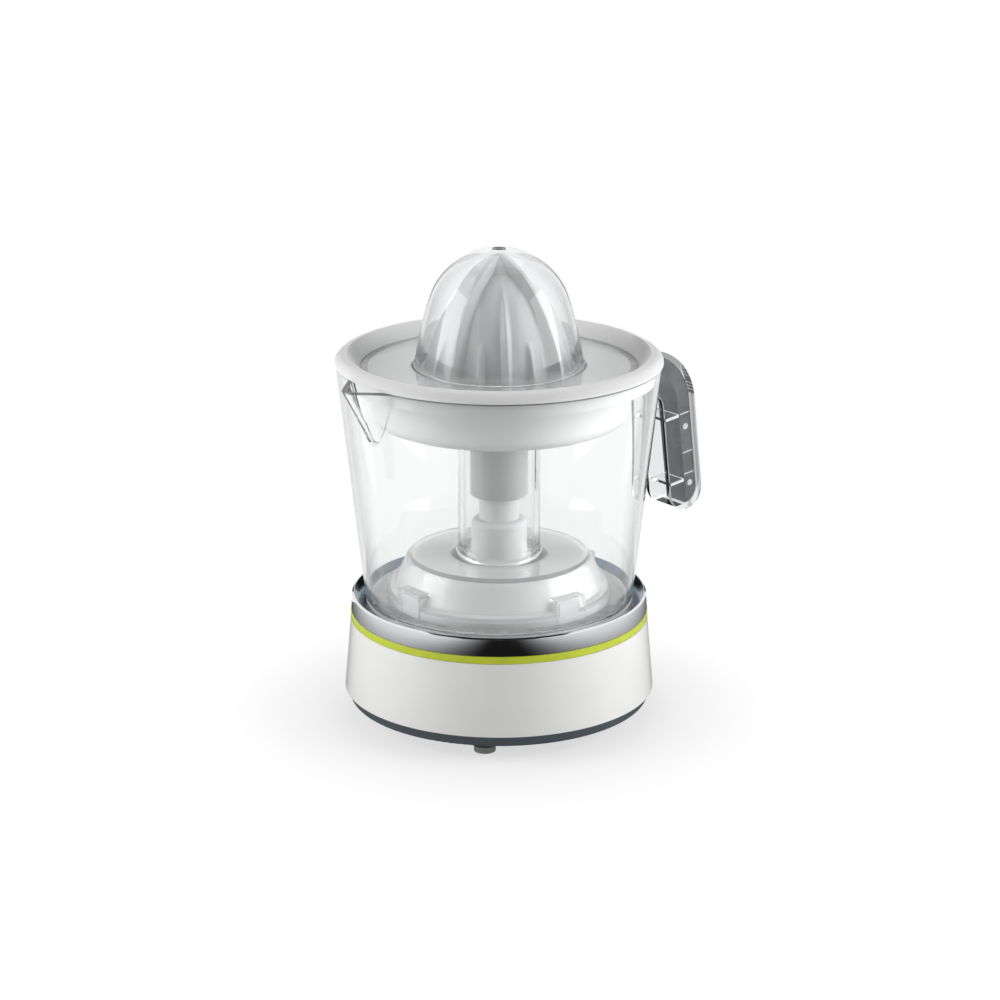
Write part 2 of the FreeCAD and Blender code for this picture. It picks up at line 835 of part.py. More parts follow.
def spout_section(share, inset):
    """Plan outline of the spout at a share of its depth above its lowest point."""
    wall = f"(jug_rim_radius - jug_slope * spout_depth * (1 - {share}))"
    half = f"(spout_width / 2 * {share} ^ spout_swell - ({inset}))"
    root = f"-({wall} - 3 * jug_wall - ({inset}))"
    side = f"-sqrt(({wall} - ({inset})) ^ 2 - {half} ^ 2)"
    tip = f"-({wall} + (spout_reach + spout_nose / 4) * {share} - spout_tip_wall * ({inset}))"
    nose = f"(spout_nose - ({inset}) / 2)"
    run = f"({side} - ({tip}))"
    slant = f"sqrt({run} ^ 2 + {half} ^ 2)"
    turn_x = f"{tip} + {nose} * {run} ^ 2 / ({half} * {slant})"
    turn_y = f"{nose} * {run} / {slant}"
    return [
        (root, half),
        (side, half),
        (turn_x, turn_y, nose),
        (turn_x, f"-({turn_y})"),
        (side, f"-({half})"),
        (root, f"-({half})"),
    ]


def spout_loft(label, shares, inset):
    """Loft the spout through its plan outlines."""
    body = new_body(label)
    sketches = []
    for number, share in enumerate(shares):
        height = f"jug_rim - spout_depth * (1 - {share})"
        outline = spout_section(share, inset)
        sketches.append(new_sketch(body, f"{label}_{number}", "XY_Plane", outline, height))
    loft = body.newObject("PartDesign::AdditiveLoft", label + "_loft")
    loft.Profile = sketches[0]
    loft.Sections = sketches[1:]
    doc.recompute()
    return body


def make_jug():
    """Clear jug: tapered wall, keyed floor over the hub, central column and pouring spout."""
    trough = "deck + jug_floor"
    foot = "hub_foot_radius + hub_gap"
    under = [
        (foot, "hub_step + hub_gap"),
        ("hub_waist_radius + hub_gap", "hub_waist + hub_gap"),
        ("hub_top_radius + hub_gap", "jug_under"),
    ]
    step = (f"{foot} + jug_wall", "hub_step + hub_gap + jug_floor")
    waist = ("hub_waist_radius + hub_gap + jug_wall", "hub_waist + hub_gap + jug_floor")
    brow = ("hub_top_radius + hub_gap + jug_wall * brow_share", "jug_floor_top")
    trough_foot = (f"{foot} + jug_wall", trough)
    trough_wall = ("jug_foot_radius - jug_wall + jug_slope * jug_floor", trough)
    wall = turned(
        "jug_wall_turned",
        [
            (foot, "deck"),
            ("jug_foot_radius", "deck"),
            ("jug_rim_radius", "jug_rim"),
            ("jug_rim_radius - jug_wall", "jug_rim"),
            trough_wall,
            trough_foot,
            step,
            waist,
            brow,
            ("column_radius + column_draft", "jug_floor_top"),
            ("column_radius", "column_top"),
            ("column_bore", "column_top"),
            ("column_bore", "jug_under"),
            under[2],
            under[1],
            under[0],
        ],
        [
            ("jug_heel_round", ("jug_foot_radius", "deck")),
            ("jug_trough_round", trough_wall),
            ("jug_shoulder_round", brow),
            ("column_foot_round", ("column_radius + column_draft", "jug_floor_top")),
        ],
    )
    hub_space = turned(
        "hub_space",
        [("0", "shell_top"), (foot, "shell_top"), *under, ("0", "jug_under")],
    )
    inside = cone("jug_inside", "jug_foot_radius - jug_wall", "jug_rim_radius - jug_wall", "deck",
                  "jug_height")
    beak = less("spout_shell", spout_loft("spout_outside", SPOUT_OUTSIDE, "0"), inside)
    raised = [wall, beak]
    hollows = [hub_space, spout_loft("spout_inside", SPOUT_INSIDE, "jug_wall - spout_thinning")]
    lug_top = "deck + lug_height + hub_gap"
    for turn in QUARTERS:
        raised.append(
            box("key_cap", ("hub_top_radius", "-lug_width / 2 - hub_gap - jug_wall", trough),
                (f"{foot} + jug_wall - hub_top_radius", "lug_width + 2 * hub_gap + 2 * jug_wall",
                 f"{lug_top} + jug_wall - ({trough})"), turn))
        hollows.append(
            box("key_slot", ("column_radius", "-lug_width / 2 - hub_gap", "shell_top"),
                (f"{foot} - column_radius", "lug_width + 2 * hub_gap", f"{lug_top} - shell_top"), turn))
    return less("jug", fused("jug_raised", *raised), *hollows)


def grip_point(run, depth):
    """Place on the grip: run down from its shoulder and depth in from its outer face."""
    x = f"grip_x + ({run}) * sin(grip_lean) - ({depth}) * cos(grip_lean)"
    z = f"grip_z - ({run}) * cos(grip_lean) - ({depth}) * sin(grip_lean)"
    return x, z


def shoulder_point(radius, angle):
    """Place on the handle's rounded shoulder."""
    return f"shoulder_x + ({radius}) * cos({angle})", f"shoulder_z + ({radius}) * sin({angle})"


def make_handle():
    """Clear channel-section handle, open towards the jug, with two cross webs."""
    start = "jug_rim_radius - 3 * jug_wall"
    bend = "handle_depth / 2"
    inner_bend = "(handle_depth / 2 - handle_wall)"
    channel = "handle_width - 2 * handle_side_wall"
    body = new_body("handle_channel")
    extruded(
        body, "Pad", "handle_block",
        [
            (start, "handle_top"),
            ("shoulder_x", "handle_top", "-shoulder_radius"),
            grip_point("0", "0"),
            (*grip_point("grip_length", "0"), f"-({bend})"),
            (*grip_point(f"grip_length + {bend}", bend), f"-({bend})"),
            grip_point("grip_length", "handle_depth"),
            (*grip_point("0", "handle_depth"), "shoulder_radius - handle_depth"),
            ("shoulder_x", "handle_top - handle_depth"),
            (start, "handle_top - handle_depth"),
        ],
        "handle_width",
    )
    low = f"grip_length + {inner_bend}"
    extruded(
        body, "Pocket", "handle_hollow",
        [
            (start, "handle_top - handle_wall"),
            ("shoulder_x", "handle_top - handle_wall", "-(shoulder_radius - handle_wall)"),
            grip_point("0", "handle_wall"),
            (*grip_point("grip_length", "handle_wall"), f"-{inner_bend}"),
            grip_point(low, bend),
            grip_point(low, "2 * handle_depth"),
            (start, grip_point(low, "2 * handle_depth")[1]),
        ],
        channel,
    )
    face = "handle_wall + insert_depth"
    for number, place in enumerate(("upper_web_place", "lower_web_place")):
        below = f"{place} + handle_web"
        extruded(
            body, "Pad", f"handle_web_{number}",
            [
                grip_point(place, face),
                grip_point(below, face),
                grip_point(below, "handle_depth - handle_web"),
                grip_point(place, "handle_depth - handle_web"),
            ],
            channel,
        )
    outside = cone("jug_outside", "jug_foot_radius", "jug_rim_radius", "deck", "jug_height")
    return less("jug_handle", body, outside)


def make_grip_insert():
    """Soft bar against the inside of the handle's outer wall."""
    body = new_body("grip_insert")
    outer = "(shoulder_radius - handle_wall)"
    inner = f"({outer} - insert_depth)"
    low = "grip_length - insert_end_gap"
    extruded(
        body, "Pad", "insert_bar",
        [
            (*shoulder_point(outer, "insert_start"), f"-{outer}"),
            grip_point("0", "handle_wall"),
            grip_point(low, "handle_wall"),
            grip_point(low, "handle_wall + insert_depth"),
            (*grip_point("0", "handle_wall + insert_depth"), inner),
            shoulder_point(inner, "insert_start"),
        ],
        "handle_width - 2 * handle_side_wall - 2 * insert_gap",
    )
    return body


# Strainer, cover and reamer

def make_strainer():
    """Strainer basket with a rolled rim, a slotted floor and a collar for the reamer's stem."""
    flange = "cover_seat - flange_thickness"
    skirt_top = ("skirt_foot_radius - skirt_wall", "cover_seat")
    heel = ("basket_foot_radius", "basket_base")
    inner_heel = ("basket_foot_radius - basket_wall", "basket_floor_top")
    ring = "column_radius + column_ring_gap"
    ring_foot = "column_top - column_ring_depth"
    body = turned(
        "strainer",
        [
            ("collar_bore", "basket_base"),
            (ring, "basket_base"),
            (ring, ring_foot),
            (f"{ring} + column_ring_wall", ring_foot),
            (f"{ring} + column_ring_wall", "basket_base"),
            heel,
            ("basket_top_radius", flange),
            skirt_top,
            ("skirt_foot_radius - skirt_wall", "jug_rim - skirt_depth"),
            ("skirt_foot_radius", "jug_rim - skirt_depth"),
            ("jug_rim_radius - jug_wall - skirt_gap", "jug_rim"),
            ("rim_radius", "jug_rim"),
            ("rim_radius", "jug_rim + rim_edge", "rim_bow"),
            ("rim_crest_radius", "rim_crest", "2 * rim_bow"),
            ("rim_bore_radius", "cover_seat + cover_wall"),
            ("rim_bore_radius", "cover_seat"),
            ("basket_top_radius - basket_wall", "cover_seat"),
            inner_heel,
            ("collar_bore + collar_wall", "basket_floor_top"),
            ("collar_bore + collar_wall", "collar_end"),
            ("collar_bore", "collar_end"),
        ],
        [
            ("basket_heel_round", heel),
            ("basket_heel_round - basket_wall", inner_heel),
        ],
    )
    slot = new_sketch(
        body, "slot_outline", "XY_Plane",
        [
            ("slot_inner_radius", "-slot_width / 2"),
            ("slot_outer_radius", "-slot_width / 2"),
            ("slot_outer_radius", "slot_width / 2"),
            ("slot_inner_radius", "slot_width / 2"),
        ],
        "basket_floor_top",
    )
    cut = body.newObject("PartDesign::Pocket", "strainer_slot")
    cut.Profile = slot
    bind(cut, Length="basket_floor")
    doc.recompute()
    pattern = body.newObject("PartDesign::PolarPattern", "strainer_slots")
    pattern.Originals = [cut]
    pattern.Axis = (slot, ["N_Axis"])
    pattern.Angle = 360
    bind(pattern, Occurrences="slot_count")
    body.Tip = pattern
    doc.recompute()
    return body


def make_dust_cover():
    """Clear cover: a flat disc in the strainer's rim and a dome over the reamer."""
    disc_radius = "rim_bore_radius - cover_gap"
    inner_foot = "dome_foot_radius - cover_wall"
    inner_crown = ("crown_foot_radius * cover_thinning",
                   "crown_centre + (crown_foot - crown_centre) * cover_thinning")
    gate_rim = "crown_centre + sqrt(crown_radius ^ 2 - gate_radius ^ 2)"
    return turned(
        "dust_cover",
        [
            (inner_foot, "cover_seat"),
            (disc_radius, "cover_seat"),
            (disc_radius, "disc_top"),
            ("dome_foot_radius", "disc_top", "dome_side_bow"),
            ("crown_foot_radius", "crown_foot", "crown_radius"),
            ("gate_radius", gate_rim),
            ("gate_radius", f"{gate_rim} - gate_depth"),
            ("0", f"{gate_rim} - gate_depth"),
            ("0", "cover_top - cover_wall", "-(crown_radius - cover_wall)"),
            (*inner_crown, "-(dome_side_bow - cover_wall)"),
        ],
        [("dome_foot_round", ("dome_foot_radius", "disc_top"))],
    )


def bulge(share, form):
    """Radius share of a pointed dome at a share of its height; form is fin or core."""
    return max(1.0 - share ** value(form + "_roundness"), 0.0) ** value(form + "_power")


def dome_solid(foot, radius, height):
    """Solid dome under the core's curve."""
    steps = int(value("core_points"))
    points = []
    for step in range(steps + 1):
        share = math.sin(math.radians(90.0 * step / steps))
        points.append(Vector(radius * bulge(share, "core"), 0, foot + height * share))
    curve = Part.BSplineCurve()
    curve.interpolate(points)
    corner = Vector(0, 0, foot)
    wire = Part.Wire([
        Part.makeLine(corner, points[0]),
        curve.toShape(),
        Part.makeLine(points[-1], corner),
    ])
    return Part.Face(wire).revolve(Vector(), UP, 360)


def rib_solid(radius, height, angle):
    """One rib, lofted through sections that are wide at the core and sharp at the crest."""
    foot = value("reamer_base")
    core_height = value("core_height")
    core_radius = value("core_radius") - value("core_wall") / 2
    steps = int(value("rib_sections"))
    thin = value("rib_crest_width") / 2
    foot_width = value("rib_foot_width")
    sections = []
    for step in range(steps + 1):
        share = math.sin(math.radians(value("rib_sweep") * step / steps))
        z = foot + height * share
        crest = radius * bulge(share, "fin")
        root = core_radius * bulge(min((z - foot) / core_height, 1.0), "core")
        root = min(root, crest * value("rib_root_share"))
        wide = max(min(foot_width, crest - root) / 2, thin * value("rib_least_taper"))
        corners = [
            Vector(root, -wide, z),
            Vector(crest, -thin, z),
            Vector(crest, thin, z),
            Vector(root, wide, z),
        ]
        sections.append(Part.makePolygon([*corners, corners[0]]))
    rib = Part.makeLoft(sections, True, False)
    rib.rotate(Vector(), UP, angle)
    return rib


def make_reamer():
    """Hollow ribbed cone on a stem with a six-sided socket."""
    foot = value("reamer_base")
    wall = value("core_wall")
    stem_radius = value("stem_radius")
    stem_foot = value("stem_foot")
    core = dome_solid(foot, value("core_radius"), value("core_height"))
    cavity_height = value("core_height - core_top_walls * core_wall")
    cavity = dome_solid(foot, value("core_radius") - wall, cavity_height)
    skirt = Part.makeCylinder(value("skirt_radius"), value("skirt_height"), Vector(0, 0, foot))
    ribs = []
    spacing = 360.0 / value("fin_count")
    for number in range(int(value("fin_count"))):
        angle = value("fin_angle") + number * spacing
        ribs.append(rib_solid(value("fin_radius"), value("reamer_height"), angle))
        ribs.append(rib_solid(value("tall_rib_radius"), value("tall_rib_height"), angle + spacing / 2))
        for turn in (spacing / 4, 3 * spacing / 4):
            ribs.append(rib_solid(value("short_rib_radius"), value("short_rib_height"), angle + turn))
    shell = core.multiFuse([skirt, *ribs]).cut(cavity)
    seat = value("collar_end")
    core_top = foot + value("core_height")
    inner = [
        Part.makeCylinder(stem_radius, core_top - stem_foot, Vector(0, 0, stem_foot)),
        Part.makeCylinder(
            value("shoulder_ring_radius"), value("shoulder_ring_height"), Vector(0, 0, seat)),
    ]
    web = value("socket_web")
    reach = value("core_radius")
    for turn in (0.0, 90.0):
        blade = Part.makeBox(2 * reach, web, core_top - seat, Vector(-reach, -web / 2, seat))
        blade.rotate(Vector(), UP, value("fin_angle") + turn)
        inner.append(blade)
    stem = inner[0].multiFuse(inner[1:])
    below = Part.makeCylinder(stem_radius, seat - stem_foot, Vector(0, 0, stem_foot))
    stem = stem.common(core).fuse(below)
    circle = value("socket_circle")
    corners = []
    for number in range(7):
        turn = math.radians(60.0 * number)
        corners.append(Vector(circle * math.cos(turn), circle * math.sin(turn), stem_foot))
    socket = Part.Face(Part.makePolygon(corners)).extrude(Vector(0, 0, value("socket_depth")))
    return shaped("reamer", shell.fuse(stem).cut(socket).removeSplitter())


# Drive train

def gear_face(teeth, module, phase):
    """Spur gear outline with stub involute teeth; one tooth points at the phase angle."""
    pressure = math.radians(value("pressure_angle"))
    pitch = module * teeth / 2
    base = pitch * math.cos(pressure)
    tip = pitch + value("tooth_rise") * module
    root = pitch - value("tooth_drop") * module
    half = math.pi / (2 * teeth) - value("backlash") / (4 * pitch)

    def involute(radius):
        lean = math.acos(min(base / radius, 1.0))
        return math.tan(lean) - lean

    def at(radius, angle):
        return Vector(radius * math.cos(angle), radius * math.sin(angle), 0)

    low = max(base, root)
    heights = (low, (low + tip) / 2, tip)
    widths = [half + involute(pitch) - involute(radius) for radius in heights]
    edges = []
    step = 2 * math.pi / teeth
    for number in range(teeth):
        middle = math.radians(phase) + number * step
        rising = [at(radius, middle - width) for radius, width in zip(heights, widths)]
        falling = [at(radius, middle + width) for radius, width in zip(heights, widths)]
        following = middle + step - widths[0]
        if low > root:
            edges.append(Part.makeLine(at(root, middle - widths[0]), rising[0]))
        edges.append(Part.Arc(*rising).toShape())
        edges.append(Part.Arc(rising[2], at(tip, middle), falling[2]).toShape())
        edges.append(Part.Arc(*reversed(falling)).toShape())
        if low > root:
            edges.append(Part.makeLine(falling[0], at(root, middle + widths[0])))
        valley = [at(root, angle) for angle in (middle + widths[0], middle + step / 2, following)]
        edges.append(Part.Arc(*valley).toShape())
    return Part.Face(Part.Wire(edges))


def gear_solid(teeth, module, phase, foot, width, centre):
    """Spur gear standing on a level."""
    solid = gear_face(teeth, module, phase).extrude(Vector(0, 0, width))
    solid.translate(Vector(centre.x, centre.y, foot))
    return solid


def bearing(origin, target):
    """Angle in degrees from one point to another."""
    across = target - origin
    return math.degrees(math.atan2(across.y, across.x))


def make_output_gear():
    """Output gear with its journal and the six-sided bore that the shaft slides in."""
    teeth = int(value("output_teeth"))
    gear = gear_solid(teeth, value("output_module"), bearing(Vector(), idler_place()), value("output_foot"),
                      value("output_width"), Vector())
    blank = shaped("output_gear_blank", gear)
    journal = cylinder("output_journal", "journal_radius", "journal_foot", "output_foot - journal_foot")
    bore = hexagon("output_bore", "(shaft_flats / 2 + shaft_gap) / cos(30)", "journal_foot",
                   "output_top - journal_foot")
    return less("output_gear", fused("output_gear_solid", blank, journal), bore)


def make_idler_gear():
    """Idler: a wheel driven by the rotor and a pinion that drives the output gear."""
    place = idler_place()
    rotor = Vector(value("rotor_x"), value("rotor_y"), 0)
    pinion_teeth = int(value("idler_pinion_teeth"))
    wheel_teeth = int(value("idler_wheel_teeth"))
    pinion_phase = bearing(place, Vector()) + 180.0 / pinion_teeth
    pinion = gear_solid(pinion_teeth, value("output_module"), pinion_phase, value("idler_mid"),
                        value("idler_pinion_width"), place)
    wheel = gear_solid(wheel_teeth, value("idler_module"), bearing(place, rotor), value("idler_foot"),
                       value("idler_wheel_width"), place)
    hub_foot = value("gear_plate_top") + value("axial_gap")
    hub = Part.makeCylinder(value("pin_head_radius"), value("idler_foot") - hub_foot,
                            Vector(place.x, place.y, hub_foot))
    bore = Part.makeCylinder(value("idler_pin_radius") + value("running_gap"), value("idler_top") - hub_foot,
                             Vector(place.x, place.y, hub_foot))
    return shaped("idler_gear", wheel.multiFuse([pinion, hub]).cut(bore).removeSplitter())


def make_idler_pin():
    """Headed pin, pressed in the gear plate, that the idler runs on."""
    place = idler_place()
    radius = value("idler_pin_radius")
    foot = value("gear_plate_foot")
    head = value("idler_top") + value("axial_gap")
    shank = Part.makeCylinder(radius, head - foot, Vector(place.x, place.y, foot))
    cap = Part.makeCylinder(
        value("pin_head_radius"), value("pin_head_height"), Vector(place.x, place.y, head))
    return shaped("idler_pin", shank.fuse(cap))


def make_rotor():
    """Rotor: magnet, shaft and pinion."""
    rotor = Vector(value("rotor_x"), value("rotor_y"), 0)
    shaft_foot = "pivot_top - pivot_depth + axial_gap"
    shaft_top = "rotor_pinion_top + rotor_shaft_end"
    shaft = cylinder("rotor_shaft", "rotor_shaft_radius", shaft_foot, f"{shaft_top} - ({shaft_foot})",
                     "rotor_x", "rotor_y")
    magnet_foot = "core_base - magnet_overhang"
    magnet_height = "core_stack + 2 * magnet_overhang"
    magnet = less(
        "rotor_magnet",
        cylinder("magnet_body", "magnet_radius", magnet_foot, magnet_height, "rotor_x", "rotor_y"),
        cylinder("magnet_bore", "rotor_shaft_radius", magnet_foot, magnet_height, "rotor_x", "rotor_y"),
    )
    teeth = int(value("rotor_teeth"))
    phase = bearing(rotor, idler_place()) + 180.0 / teeth
    gear = gear_solid(teeth, value("idler_module"), phase, value("rotor_pinion_foot"),
                      value("rotor_pinion_width"), rotor)
    blank = shaped("rotor_pinion_blank", gear)
    bore = cylinder("rotor_pinion_bore", "rotor_shaft_radius", "rotor_pinion_foot", "rotor_pinion_width",
                    "rotor_x", "rotor_y")
    return [magnet, shaft, less("rotor_pinion", blank, bore)]


def make_gear_plate():
    """Plate on three pillars that carries the gears and the rotor's upper bush."""
    place = idler_place()
    disc = cylinder("gear_disc", "gear_plate_radius", "gear_plate_foot", "gear_plate_thickness")
    holes = [
        cylinder("journal_hole", "journal_radius + running_gap + bush_wall", "gear_plate_foot",
                 "gear_plate_thickness"),
        cylinder("rotor_hole", "rotor_shaft_radius + running_gap + bush_wall", "gear_plate_foot",
                 "gear_plate_thickness", "rotor_x", "rotor_y"),
        shaped("pin_hole", Part.makeCylinder(value("idler_pin_radius"), value("gear_plate_thickness"),
                                             Vector(place.x, place.y, value("gear_plate_foot")))),
    ]
    for x, y in PILLAR_PLACES:
        holes.append(
            cylinder("plate_screw_hole", "screw_radius", "gear_plate_foot", "gear_plate_thickness", x, y))
    return less("gear_plate", disc, *holes)


def make_bushes():
    """Flanged bushes for the output gear's journal and the rotor's shaft."""
    bushes = []
    for radius, x, y in (("journal_radius", "0", "0"), ("rotor_shaft_radius", "rotor_x", "rotor_y")):
        bore = f"{radius} + running_gap"
        foot = "gear_plate_foot - bush_flange_thickness"
        flange = cylinder("bush_flange", f"{bore} + bush_wall + bush_flange", foot,
                          "bush_flange_thickness", x, y)
        sleeve = cylinder("bush_sleeve", f"{bore} + bush_wall", "gear_plate_foot",
                          "gear_plate_thickness", x, y)
        hole = cylinder("bush_bore", bore, foot, "gear_plate_thickness + bush_flange_thickness", x, y)
        bushes.append(less("bush", fused("bush_solid", flange, sleeve), hole))
    return group("bearing_bushes", *bushes)


def make_spindle():
    """Drive spindle and the six-sided shaft that carries it."""
    journal = cylinder("spindle_journal", "spindle_radius", "spindle_foot", "journal_top - spindle_foot")
    bar = hexagon("spindle_bar", "hex_flats / 2 / cos(30)", "journal_top", "hex_length")
    bore = hexagon("spindle_bore", "shaft_flats / 2 / cos(30)", "spindle_foot", "shaft_tuck")
    spindle = less("drive_spindle", fused("spindle_solid", journal, bar), bore)
    shaft = hexagon("drive_shaft", "shaft_flats / 2 / cos(30)", "shaft_foot", "shaft_top - shaft_foot")
    shaft.Label = "drive_shaft"
    return [spindle, shaft]


def make_return_spring():
    """Coil spring between the output gear and the spindle, swept along quarter-turn arcs."""
    radius = value("spring_radius")
    wire = value("spring_wire") / 2
    foot = value("output_top") + value("spring_end_gap") + wire
    top = value("spindle_foot") - value("spring_end_gap") - wire
    quarters = int(4 * value("spring_turns"))

    def at(share):
        turn = 2 * math.pi * value("spring_turns") * share
        return Vector(radius * math.cos(turn), radius * math.sin(turn), foot + (top - foot) * share)

    arcs = []
    for number in range(quarters):
        shares = [(number + part) / quarters for part in (0.0, 0.5, 1.0)]
        arcs.append(Part.Arc(*[at(share) for share in shares]))
    path = Part.Wire([arc.toShape() for arc in arcs])
    section = Part.Wire(Part.makeCircle(wire, at(0), arcs[0].tangent(arcs[0].FirstParameter)[0]))
    return shaped("return_spring", path.makePipeShell([section], True, False))


# Motor and switch

def leg_sleeve(name, side, margin, start, length):
    """Box round one leg of the core, with a margin on all four of its sides."""
    centre = f"rotor_x + {side} * leg_offset"
    return box(
        name,
        (f"{centre} - leg_width / 2 - ({margin})", start, f"core_base - ({margin})"),
        (f"leg_width + 2 * ({margin})", length, f"core_stack + 2 * ({margin})"),
    )


def make_stator():
    """U-shaped laminated core, with a bobbin and a winding on each leg."""
    low_x = "rotor_x - core_span / 2"
    block = box("core_block", (low_x, "core_low_y", "core_base"),
                ("core_span", "core_length", "core_stack"))
    window = box("core_window", (f"{low_x} + leg_width", "core_low_y + leg_width", "core_base"),
                 ("core_span - 2 * leg_width", "core_length - leg_width - 2 * pole_reach", "core_stack"))
    slot = box("pole_gap", ("rotor_x - pole_slot / 2", "core_low_y + leg_width", "core_base"),
               ("pole_slot", "core_length", "core_stack"))
    bore = cylinder("rotor_bore", "magnet_radius + air_gap", "core_base", "core_stack",
                    "rotor_x", "rotor_y")
    core = less("stator_core", block, window, slot, bore)
    low_y = "core_low_y + bobbin_place"
    wound_start = f"{low_y} + bobbin_flange_thickness"
    wound_length = "bobbin_length - 2 * bobbin_flange_thickness"
    brim = "bobbin_wall + bobbin_flange"
    bobbins = []
    windings = []
    for side in ("-1", "1"):
        hole = leg_sleeve("bobbin_hole", side, "0", low_y, "bobbin_length")
        tube = leg_sleeve("bobbin_tube", side, "bobbin_wall", low_y, "bobbin_length")
        ends = []
        for start in (low_y, f"{low_y} + bobbin_length - bobbin_flange_thickness"):
            ends.append(leg_sleeve("bobbin_end", side, brim, start, "bobbin_flange_thickness"))
        bobbins.append(less("bobbin", fused("bobbin_solid", tube, *ends), hole))
        wound = leg_sleeve("winding_block", side, f"{brim} - winding_inset", wound_start, wound_length)
        inside = leg_sleeve("winding_hole", side, "bobbin_wall", wound_start, wound_length)
        windings.append(less("winding", wound, inside))
    return [core, group("coil_bobbins", *bobbins), group("coil_windings", *windings)]


def make_switch():
    """Press switch under the shaft's end, with its plunger."""
    low = ("switch_overhang - switch_length", "-switch_width / 2", "switch_foot")
    block = box("switch_block", low, ("switch_length", "switch_width", "switch_top - switch_foot"))
    plunger_foot = "switch_top - plunger_tuck"
    depth = "plunger_tuck + press_travel + axial_gap"
    hole = cylinder("plunger_hole", "plunger_radius + running_gap", f"switch_top - ({depth})", depth)
    plunger = cylinder("switch_plunger", "plunger_radius", plunger_foot,
                       f"shaft_foot - plunger_gap - ({plunger_foot})")
    plunger.Label = "switch_plunger"
    return [less("switch_body", block, hole), plunger]


def build():
    """Make every sub-part and return them in order."""
    parts = [
        make_base_plate(),
        make_foot_pads(),
        make_screws("base_screws", SCREW_PLACES, "plate_floor", "plate_floor + screw_head_height"),
        make_base_shell(),
        make_cord_gland(),
        *make_rings(),
        make_deck_hub(),
        make_gear_plate(),
        make_screws("plate_screws", PILLAR_PLACES, "gear_plate_top", "gear_plate_top - screw_length"),
        make_bushes(),
        *make_stator(),
        *make_rotor(),
        make_idler_gear(),
        make_idler_pin(),
        make_output_gear(),
        *make_spindle(),
        make_return_spring(),
        *make_switch(),
        make_jug(),
        make_handle(),
        make_grip_insert(),
        make_strainer(),
        make_reamer(),
        make_dust_cover(),
    ]
    doc.recompute()
    return parts


def check(parts):
    """Stop if any object failed or any sub-part is empty or not valid."""
    for thing in doc.Objects:
        if "Invalid" in thing.State or "Error" in thing.State:
            raise RuntimeError(f"{thing.Label} failed: {thing.State}")
    for part in parts:
        if part.Shape.isNull() or not part.Shape.isValid() or not part.Shape.Solids:
            raise RuntimeError(f"{part.Label} has no valid solid")


def write(parts):
    """Write one STEP file for each sub-part."""
    os.makedirs("parts", exist_ok=True)
    for part in parts:
        part.Shape.exportStep(f"parts/{part.Label}.step")
        print(f"{part.Label}: {len(part.Shape.Solids)} solids, {part.Shape.Volume / 1000:.2f} ml")


made_parts = build()
check(made_parts)
write(made_parts)
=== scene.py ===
"""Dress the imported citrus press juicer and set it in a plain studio.

Sizes are in millimetres and angles in degrees; the studio's sizes and places are in metres. Meshes are made
in metres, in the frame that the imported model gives.
"""
import logging
import math
from collections.abc import Callable, Iterable, Sequence
from dataclasses import dataclass
from enum import Enum

import bmesh
import bpy
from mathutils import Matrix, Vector


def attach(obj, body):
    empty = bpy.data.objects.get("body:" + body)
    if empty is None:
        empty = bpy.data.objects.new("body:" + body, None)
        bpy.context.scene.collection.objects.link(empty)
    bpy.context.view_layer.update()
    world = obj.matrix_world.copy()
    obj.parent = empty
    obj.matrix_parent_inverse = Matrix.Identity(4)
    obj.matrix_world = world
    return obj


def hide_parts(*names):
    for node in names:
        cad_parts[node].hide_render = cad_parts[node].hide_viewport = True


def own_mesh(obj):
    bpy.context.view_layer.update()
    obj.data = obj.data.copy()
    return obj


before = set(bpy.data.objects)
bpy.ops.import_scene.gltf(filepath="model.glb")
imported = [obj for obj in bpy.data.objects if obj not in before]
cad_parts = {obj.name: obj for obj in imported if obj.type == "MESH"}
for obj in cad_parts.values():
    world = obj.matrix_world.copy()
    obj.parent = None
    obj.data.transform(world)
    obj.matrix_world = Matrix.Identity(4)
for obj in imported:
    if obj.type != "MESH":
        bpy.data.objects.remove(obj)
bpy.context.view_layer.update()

Colour = tuple[float, float, float]
Corner = tuple[float, float, float]
Point = tuple[float, float]
Mesh = bmesh.types.BMesh
Row = list[bmesh.types.BMVert]
Socket = bpy.types.NodeSocket
Source = Socket | float | Sequence[float]
Inputs = dict[str | int, Source]

LOG = logging.getLogger("citrus_press")
MM = 0.001
# Noise seldom leaves the range between these two.
NOISE_LOW = 0.3
NOISE_HIGH = 0.7
# Blender's wave texture turns by this many radians in one unit.
WAVE_RATE = 20.0


class Body(Enum):
    """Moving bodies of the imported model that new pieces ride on."""

    BASE = "base"
    DRIVE = "output_drive"
    JUG = "jug_body"
    REAMER = "reamer_body"


